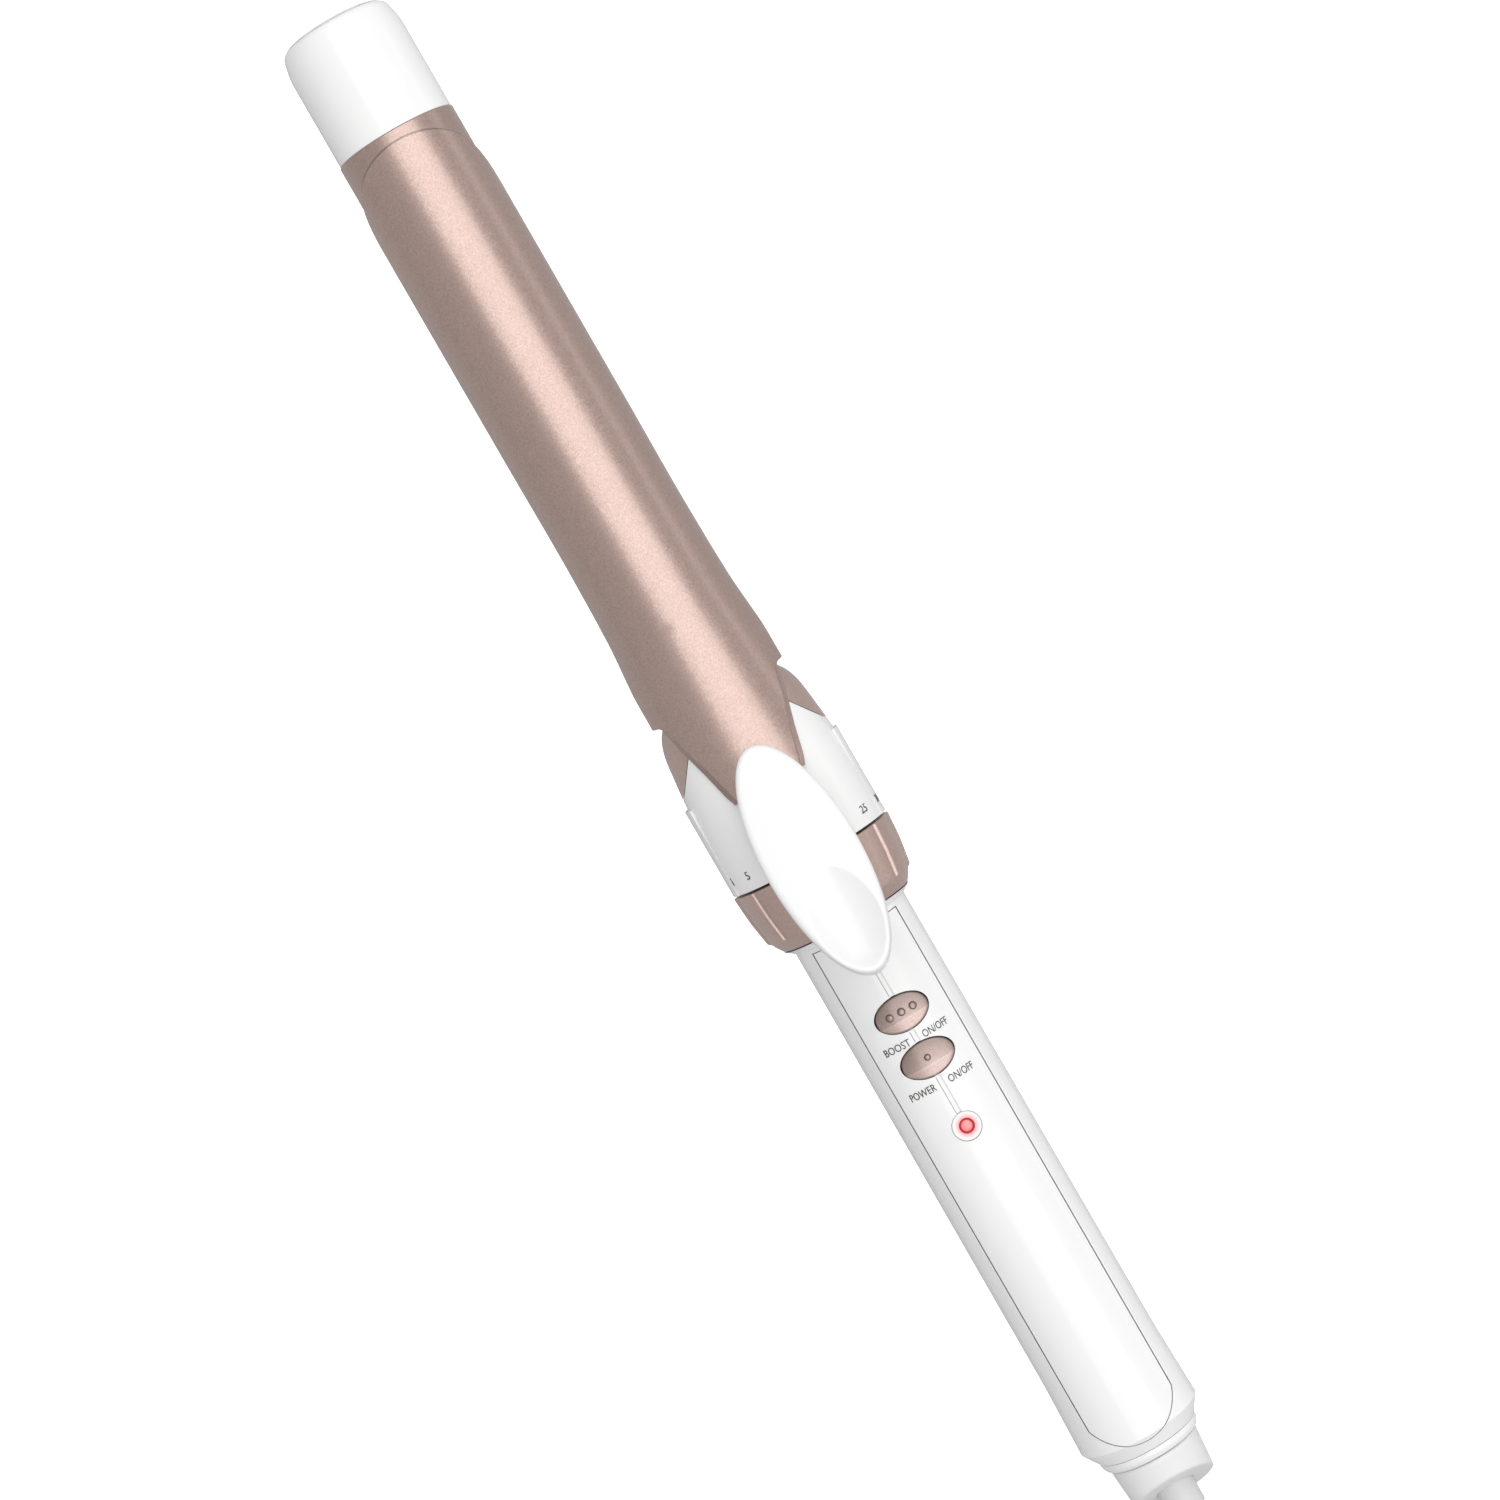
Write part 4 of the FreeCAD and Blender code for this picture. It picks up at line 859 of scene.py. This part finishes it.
def make_button(name, node, body, centre_x, domes, dome_r):
    """An oval cap: a straight wall, a rolled edge, and a top that changes slope at its crease, follows the
    handle's roundness across, and rises over each dome as the root of one minus the distance squared."""
    wall = np.array([(0.9, 6.5), (0.0, 6.6), (0.0, 9.0), (0.0, 11.3), (0.0, WALL_TOP)])
    roll = np.linspace(0.0, np.pi / 2, 7)[1:]
    inside = np.linspace(ROLL_R + 0.04, 3.5, 64)
    inset = np.concatenate([wall[:, 0], ROLL_R * (1 - np.cos(roll)), inside])[:, None]
    rolled = np.concatenate([np.full(len(wall), ROLL_R), ROLL_R * (1 - np.sin(roll)), 0 * inside])[:, None]
    around = np.linspace(0.0, 2 * np.pi, 224, endpoint=False)[None, :]
    share = 1 - inset / BUTTON_HALF_ALONG
    x = BUTTON_HALF_ALONG * share * np.cos(around)
    widening = 1 + (BUTTON_HALF_ACROSS / BUTTON_HALF_ALONG - 1) * np.clip(inset, 0, 1)
    y = (BUTTON_HALF_ACROSS - inset * widening) * np.sin(around)
    past = x + CREASE_BACK
    fall = np.where(past > 0, FRONT_SLOPE * past, -REAR_SLOPE * past)
    top = np.sqrt(BUTTON_TOP**2 - y**2) - TOP_SINK - fall - rolled
    ring = np.zeros_like(top)
    for dome_y in domes:
        apart = np.hypot(x - DOME_X, y - dome_y) / dome_r
        top = top + DOME_RISE * np.sqrt(np.clip(1 - apart**2, 0.0, 1.0))
        ring = np.maximum(ring, np.exp(-((apart - 0.92) / 0.2) ** 2))
    on_wall = np.arange(len(inset))[:, None] < len(wall) - 1
    wall_height = np.concatenate([wall[:, 1], np.zeros(len(inset) - len(wall))])[:, None]
    z = np.where(on_wall, wall_height, top)
    # Painted shade and painted highlight: darker at the outline, round each dome and on the face in front of
    # the crease, lighter along the crease.
    edge = np.exp(-inset / 0.1)
    face = np.where(past > 0, FRONT_PAINTED_SHADE + FRONT_PAINTED_SHADE_RISE * x / BUTTON_HALF_ALONG, REAR_PAINTED_SHADE)
    painted_crease_highlight = np.exp(-(past / CREASE_HIGHLIGHT_HALF) ** 2)
    tone = np.clip(face * (1 - painted_crease_highlight) + DOME_RING_PAINTED_SHADE * ring + EDGE_PAINTED_SHADE * edge, 0.0, 1.0)
    button = grid_piece(name, np.stack([x + centre_x, y, z], -1), tone=tone)
    return dress(button, finishes["rose_button"], body, [node])


print("button top radius:", BUTTON_TOP)

# %% Make the buttons
BOOST_X = -45.7
POWER_X = -56.0
make_button("boost_cap", "boost_button", "boost_button", BOOST_X, (-2.6, 0.0, 2.6), 0.75)
make_button("power_cap", "power_button", "power_button", POWER_X, (0.0,), 0.62)


# %% [markdown]
# ## Pilot light
# A red light shines up through a milky window. The light is a short post with a domed top, and the
# window is a ring round it, set in the panel.

# %% Make the light and its window
POST_FOOT = 7.8
DOME_FOOT = 11.35
LENS_RISE = 0.9
WINDOW_FOOT = 10.1
WINDOW_TOP = 12.32
lens_turn = np.linspace(0.0, np.pi / 2, 12)[:-1]
lens_post = [(NEAR_AXIS, POST_FOOT), (1.3, POST_FOOT), (LED_R, POST_FOOT + 0.2), (LED_R, DOME_FOOT - 0.15)]
lens_dome = np.stack([LED_R * np.cos(lens_turn), DOME_FOOT + LENS_RISE * np.sin(lens_turn)], -1)
lens_profile = np.concatenate([lens_post, lens_dome, [(NEAR_AXIS, DOME_FOOT + LENS_RISE + 0.01)]])
window_bore = LED_R + 0.05
window_profile = rounded(
    [(window_bore, WINDOW_FOOT), (WINDOW_R, WINDOW_FOOT), (WINDOW_R, WINDOW_TOP),
     (window_bore, WINDOW_TOP - 0.12)], [0.05, 0.05, 0.22, 0.12], 6)


def upright(profile, columns=96):
    """The grid of a turned shape on the light's upright axis: (r, z) goes to (X + r cos a, r sin a, z)."""
    around = np.linspace(0.0, 2 * np.pi, columns, endpoint=False)[None, :]
    radius, height = profile[:, 0][:, None], profile[:, 1][:, None]
    return np.stack([LIGHT_X + radius * np.cos(around), radius * np.sin(around), height + 0 * around], -1)


lens = grid_piece("light_lens", upright(lens_profile))
dress(lens, finishes["light"], "handle", ["indicator_led"])
window = grid_piece("light_window_ring", upright(window_profile), joined=True)
dress(window, finishes["window"], "handle", ["light_window"])


# %% [markdown]
# ## Swivel and end ring
# The cord leaves through a swivel that turns in the handle's end. Its rear face is cut at a slant,
# so the grid's last rows lie on that slanted plane. The ring in front of it closes the handle.

# %% Make the swivel, the ring and the cord gland
HANDLE_REAR = span("handle_lower_shell")[0] / MM
RING_REAR = span("end_ring")[0] / MM
SWIVEL_R = 9.66
SWIVEL_STEM = 7.2
SWIVEL_FRONT = RING_REAR - 0.3
SWIVEL_LENGTH = 9.4
FACE_SLOPE = math.tan(math.radians(26.0))
GLAND_R = 4.1
GLAND_FRONT = SWIVEL_FRONT - SWIVEL_LENGTH + 5.0
CORD_BORE = 3.1
TAPER = 0.62
stem_front = SWIVEL_FRONT + 9.0
around = np.linspace(0.0, 2 * np.pi, 160, endpoint=False)[None, :]
front_rows = spun(np.array([
    (stem_front, 4.4), (stem_front, SWIVEL_STEM - 0.1), (stem_front, SWIVEL_STEM),
    (SWIVEL_FRONT + 0.05, SWIVEL_STEM), (SWIVEL_FRONT, SWIVEL_STEM + 0.1), (SWIVEL_FRONT, SWIVEL_R - 0.6),
    (SWIVEL_FRONT, SWIVEL_R - 0.5), (SWIVEL_FRONT - 0.06, SWIVEL_R - 0.25),
    (SWIVEL_FRONT - 0.2, SWIVEL_R - 0.08), (SWIVEL_FRONT - 0.5, SWIVEL_R), (SWIVEL_FRONT - 0.8, SWIVEL_R)]))
corner_r = SWIVEL_R - np.array([TAPER, 0.66, 0.76, 0.98, 1.3])
mouth_r = GLAND_R + np.array([0.15, 0.07, 0.05])
face_r = np.concatenate([corner_r, np.linspace(8.0, GLAND_R + 0.35, 6), mouth_r])[:, None]
face_in = np.array([0.75, 0.4, 0.17, 0.03, 0.0, 0, 0, 0, 0, 0, 0, 0.02, 0.1, 0.3])[:, None]
slant_x = SWIVEL_FRONT - SWIVEL_LENGTH + face_r * np.cos(around) * FACE_SLOPE + face_in
slant_rows = np.stack([slant_x, face_r * np.sin(around), face_r * np.cos(around)], -1)
share_back = np.array([0.05, 0.3, 0.6, 0.9])[:, None]
wall_r = SWIVEL_R - TAPER * share_back
wall_x = (SWIVEL_FRONT - 0.8) * (1 - share_back) + slant_x[:1] * share_back
wall_rows = np.stack([wall_x, wall_r * np.sin(around), wall_r * np.cos(around)], -1)
bore_rows = spun(np.array([(GLAND_FRONT, GLAND_R + 0.05), (GLAND_FRONT, 0.4)]))
swivel = grid_piece("swivel_outlet", np.concatenate([front_rows, wall_rows, slant_rows, bore_rows]))
dress(swivel, finishes["swivel_white"], "swivel", ["swivel_body"])

ring_profile = rounded([
    (HANDLE_REAR + 1.4, SWIVEL_STEM + 0.05), (HANDLE_REAR + 1.4, 10.25), (HANDLE_REAR - 0.15, 10.25),
    (HANDLE_REAR - 0.15, HANDLE_R - 1.5), (HANDLE_REAR - 1.2, HANDLE_R - 1.55), (RING_REAR, HANDLE_R - 2.1),
    (RING_REAR, SWIVEL_STEM + 0.05)], [0.1, 0.1, 0.05, 0.15, 0.3, 0.3, 0.1])
end_ring = grid_piece("handle_end_ring", spun(ring_profile), joined=True)
dress(end_ring, finishes["white_plastic"], "handle", ["end_ring"])

gland_rear = span("cord_gland")[0] / MM
gland_profile = rounded(
    [(GLAND_FRONT, CORD_BORE), (GLAND_FRONT, GLAND_R), (gland_rear, GLAND_R), (gland_rear, CORD_BORE)],
    [0.1, 0.1, 0.4, 0.3])
gland = grid_piece("cord_sleeve", spun(gland_profile, 112), joined=True)
dress(gland, finishes["gland_white"], "swivel", ["cord_gland"])


# %% [markdown]
# ## Printed marks
# The dial scale and the button labels are pad printed in warm grey. Each is set as text, turned
# into a mesh and wrapped on the round surface under it: the reading direction becomes an angle, and
# the height runs along the wand. The ink stands proud by a few hundredths of a millimetre, as a real
# print does.

# %% Ink
INK_PROUD = 0.07
RAY_LENGTH = 40.0
ink = moulded("warm_grey_ink", (0.06, 0.055, 0.052), (0.08, 0.075, 0.07), 0.5)


def skin_radius(node_name, x, angle):
    """Radius of a CAD node's outer skin at a place along the wand and an angle, found by one ray inwards."""
    mesh = nodes[node_name].data
    mesh.calc_loop_triangles()
    faces = np.empty(len(mesh.loop_triangles) * 3, np.int32)
    mesh.loop_triangles.foreach_get("vertices", faces)
    tree = BVHTree.FromPolygons(mesh_points(mesh).tolist(), faces.reshape(-1, 3).tolist())
    outward = Vector((0.0, -math.sin(math.radians(angle)), math.cos(math.radians(angle))))
    start = Vector((x * MM, 0.0, AXIS_Z)) + outward * (RAY_LENGTH * MM)
    hit = tree.ray_cast(start, -outward)
    return RAY_LENGTH - hit[3] / MM


def printed(name, words, x, angle, height, width, node_name):
    """The words as thin ink: a letter point (u, v) goes to the angle a + u / radius and to v along the wand."""
    radius = skin_radius(node_name, x, angle)
    curve = bpy.data.curves.new(name, "FONT")
    curve.body = words
    curve.extrude = 0.5
    curve.resolution_u = 3
    source = bpy.data.objects.new(name + "_type", curve)
    bpy.context.scene.collection.objects.link(source)
    bpy.context.view_layer.update()
    depsgraph = bpy.context.evaluated_depsgraph_get()
    mesh = bpy.data.meshes.new_from_object(source.evaluated_get(depsgraph))
    bpy.data.objects.remove(source)
    flat = mesh_points(mesh)
    low, high = flat.min(0), flat.max(0)
    letters = (flat - (low + high) / 2) / (high - low)
    letter_angle = math.radians(angle) + letters[:, 0] * width / radius
    ink_radius = radius + INK_PROUD * 2 * letters[:, 2]
    ink_y = -ink_radius * np.sin(letter_angle)
    ink_z = ink_radius * np.cos(letter_angle)
    place = np.stack([x + letters[:, 1] * height, ink_y, ink_z], -1) * MM
    mesh.vertices.foreach_set("co", (place + TO_AXIS).reshape(-1))
    mesh.materials.clear()
    mesh.name = name
    mesh.update()
    return dress(bpy.data.objects.new(name, mesh), ink, "handle")


print("ink stands proud by", INK_PROUD, "mm")

# %% Print the scale and the labels
SCALE_X = -7.3
SCALE_HEIGHT = 1.65
SHELL_JOIN = 69.8
ANGLE_OF_FIVE = -48.0
ANGLE_STEP = 25.0
scale_marks = [("1", -69.0, 0.35)]
scale_marks += [(str(value), ANGLE_OF_FIVE + ANGLE_STEP * step, 1.0 if value < 10 else 2.1)
                for step, value in enumerate((5, 10, 15, 20, 25, 30))]
for figure, angle, width in scale_marks:
    shell = "front_housing_upper" if abs(angle) < SHELL_JOIN else "front_housing_lower"
    printed("scale_" + figure, figure, SCALE_X, angle, SCALE_HEIGHT, width, shell)
LABEL_HEIGHT = 1.55
LABEL_WIDTH = 5.9
LABEL_MIDDLE = math.degrees(4.4 / HANDLE_R)
BOOST_LABEL_X = -51.4
POWER_LABEL_X = -61.6
labels = (("BOOST", -1, BOOST_LABEL_X), ("ON/OFF", 1, BOOST_LABEL_X),
          ("POWER", -1, POWER_LABEL_X), ("ON/OFF", 1, POWER_LABEL_X))
for word, hand, x in labels:
    title = "label_%s_%d" % (word.replace("/", "_").lower(), round(-x))
    printed(title, word, x, hand * LABEL_MIDDLE, LABEL_HEIGHT, LABEL_WIDTH, "control_panel")
print("printed marks:", len(scale_marks) + len(labels))


# %% [markdown]
# A fine line runs down the middle of the panel and joins the buttons to the light. It is the shade
# and the lit edge of a shallow groove, painted as two hair-thin strips: a darker one of painted
# shade and a paler one of painted highlight.

# %% Line down the panel
painted_shade_line = moulded("groove_shade", (0.30, 0.30, 0.29), (0.34, 0.34, 0.33), 0.5)
painted_highlight_line = moulded("groove_painted_highlight", (0.80, 0.80, 0.795), (0.82, 0.82, 0.815), 0.3)
LINE_OFFSET = 0.56
LINE_RISE = 0.03


def panel_line(name, front, rear, y, width, finish):
    """A thin strip along the wand. Its section is a flat oval (y + w cos a, R + h sin a), the same all
    along."""
    turn = np.linspace(0.0, 2 * np.pi, 8, endpoint=False)[None, :]
    x = np.linspace(front, rear, 12)[:, None]
    skin = skin_radius("control_panel", (front + rear) / 2, math.degrees(y * 1.25 / HANDLE_R))
    strip_y = y + width / 2 * np.cos(turn) + 0 * x
    strip_z = skin + LINE_RISE * np.sin(turn) + 0 * x
    strip = grid_piece(name, np.stack([x + 0 * turn, strip_y, strip_z], -1))
    return dress(strip, finish, "handle")


BUTTON_GAP = BUTTON_HALF_ALONG + 0.4
stretches = [(-30.0, BOOST_X + BUTTON_GAP), (BOOST_X - BUTTON_GAP, POWER_X + BUTTON_GAP),
             (POWER_X - BUTTON_GAP, LIGHT_X + WINDOW_R + 0.1)]
# Each stretch gets a strip of painted shade on one side and a strip of painted highlight on the other.
for number, (front, rear) in enumerate(stretches):
    panel_line("groove_shade_%d" % number, front, rear, LINE_OFFSET, 0.14, painted_shade_line)
    panel_line("groove_highlight_strip_%d" % number, front, rear, -LINE_OFFSET, 0.1, painted_highlight_line)
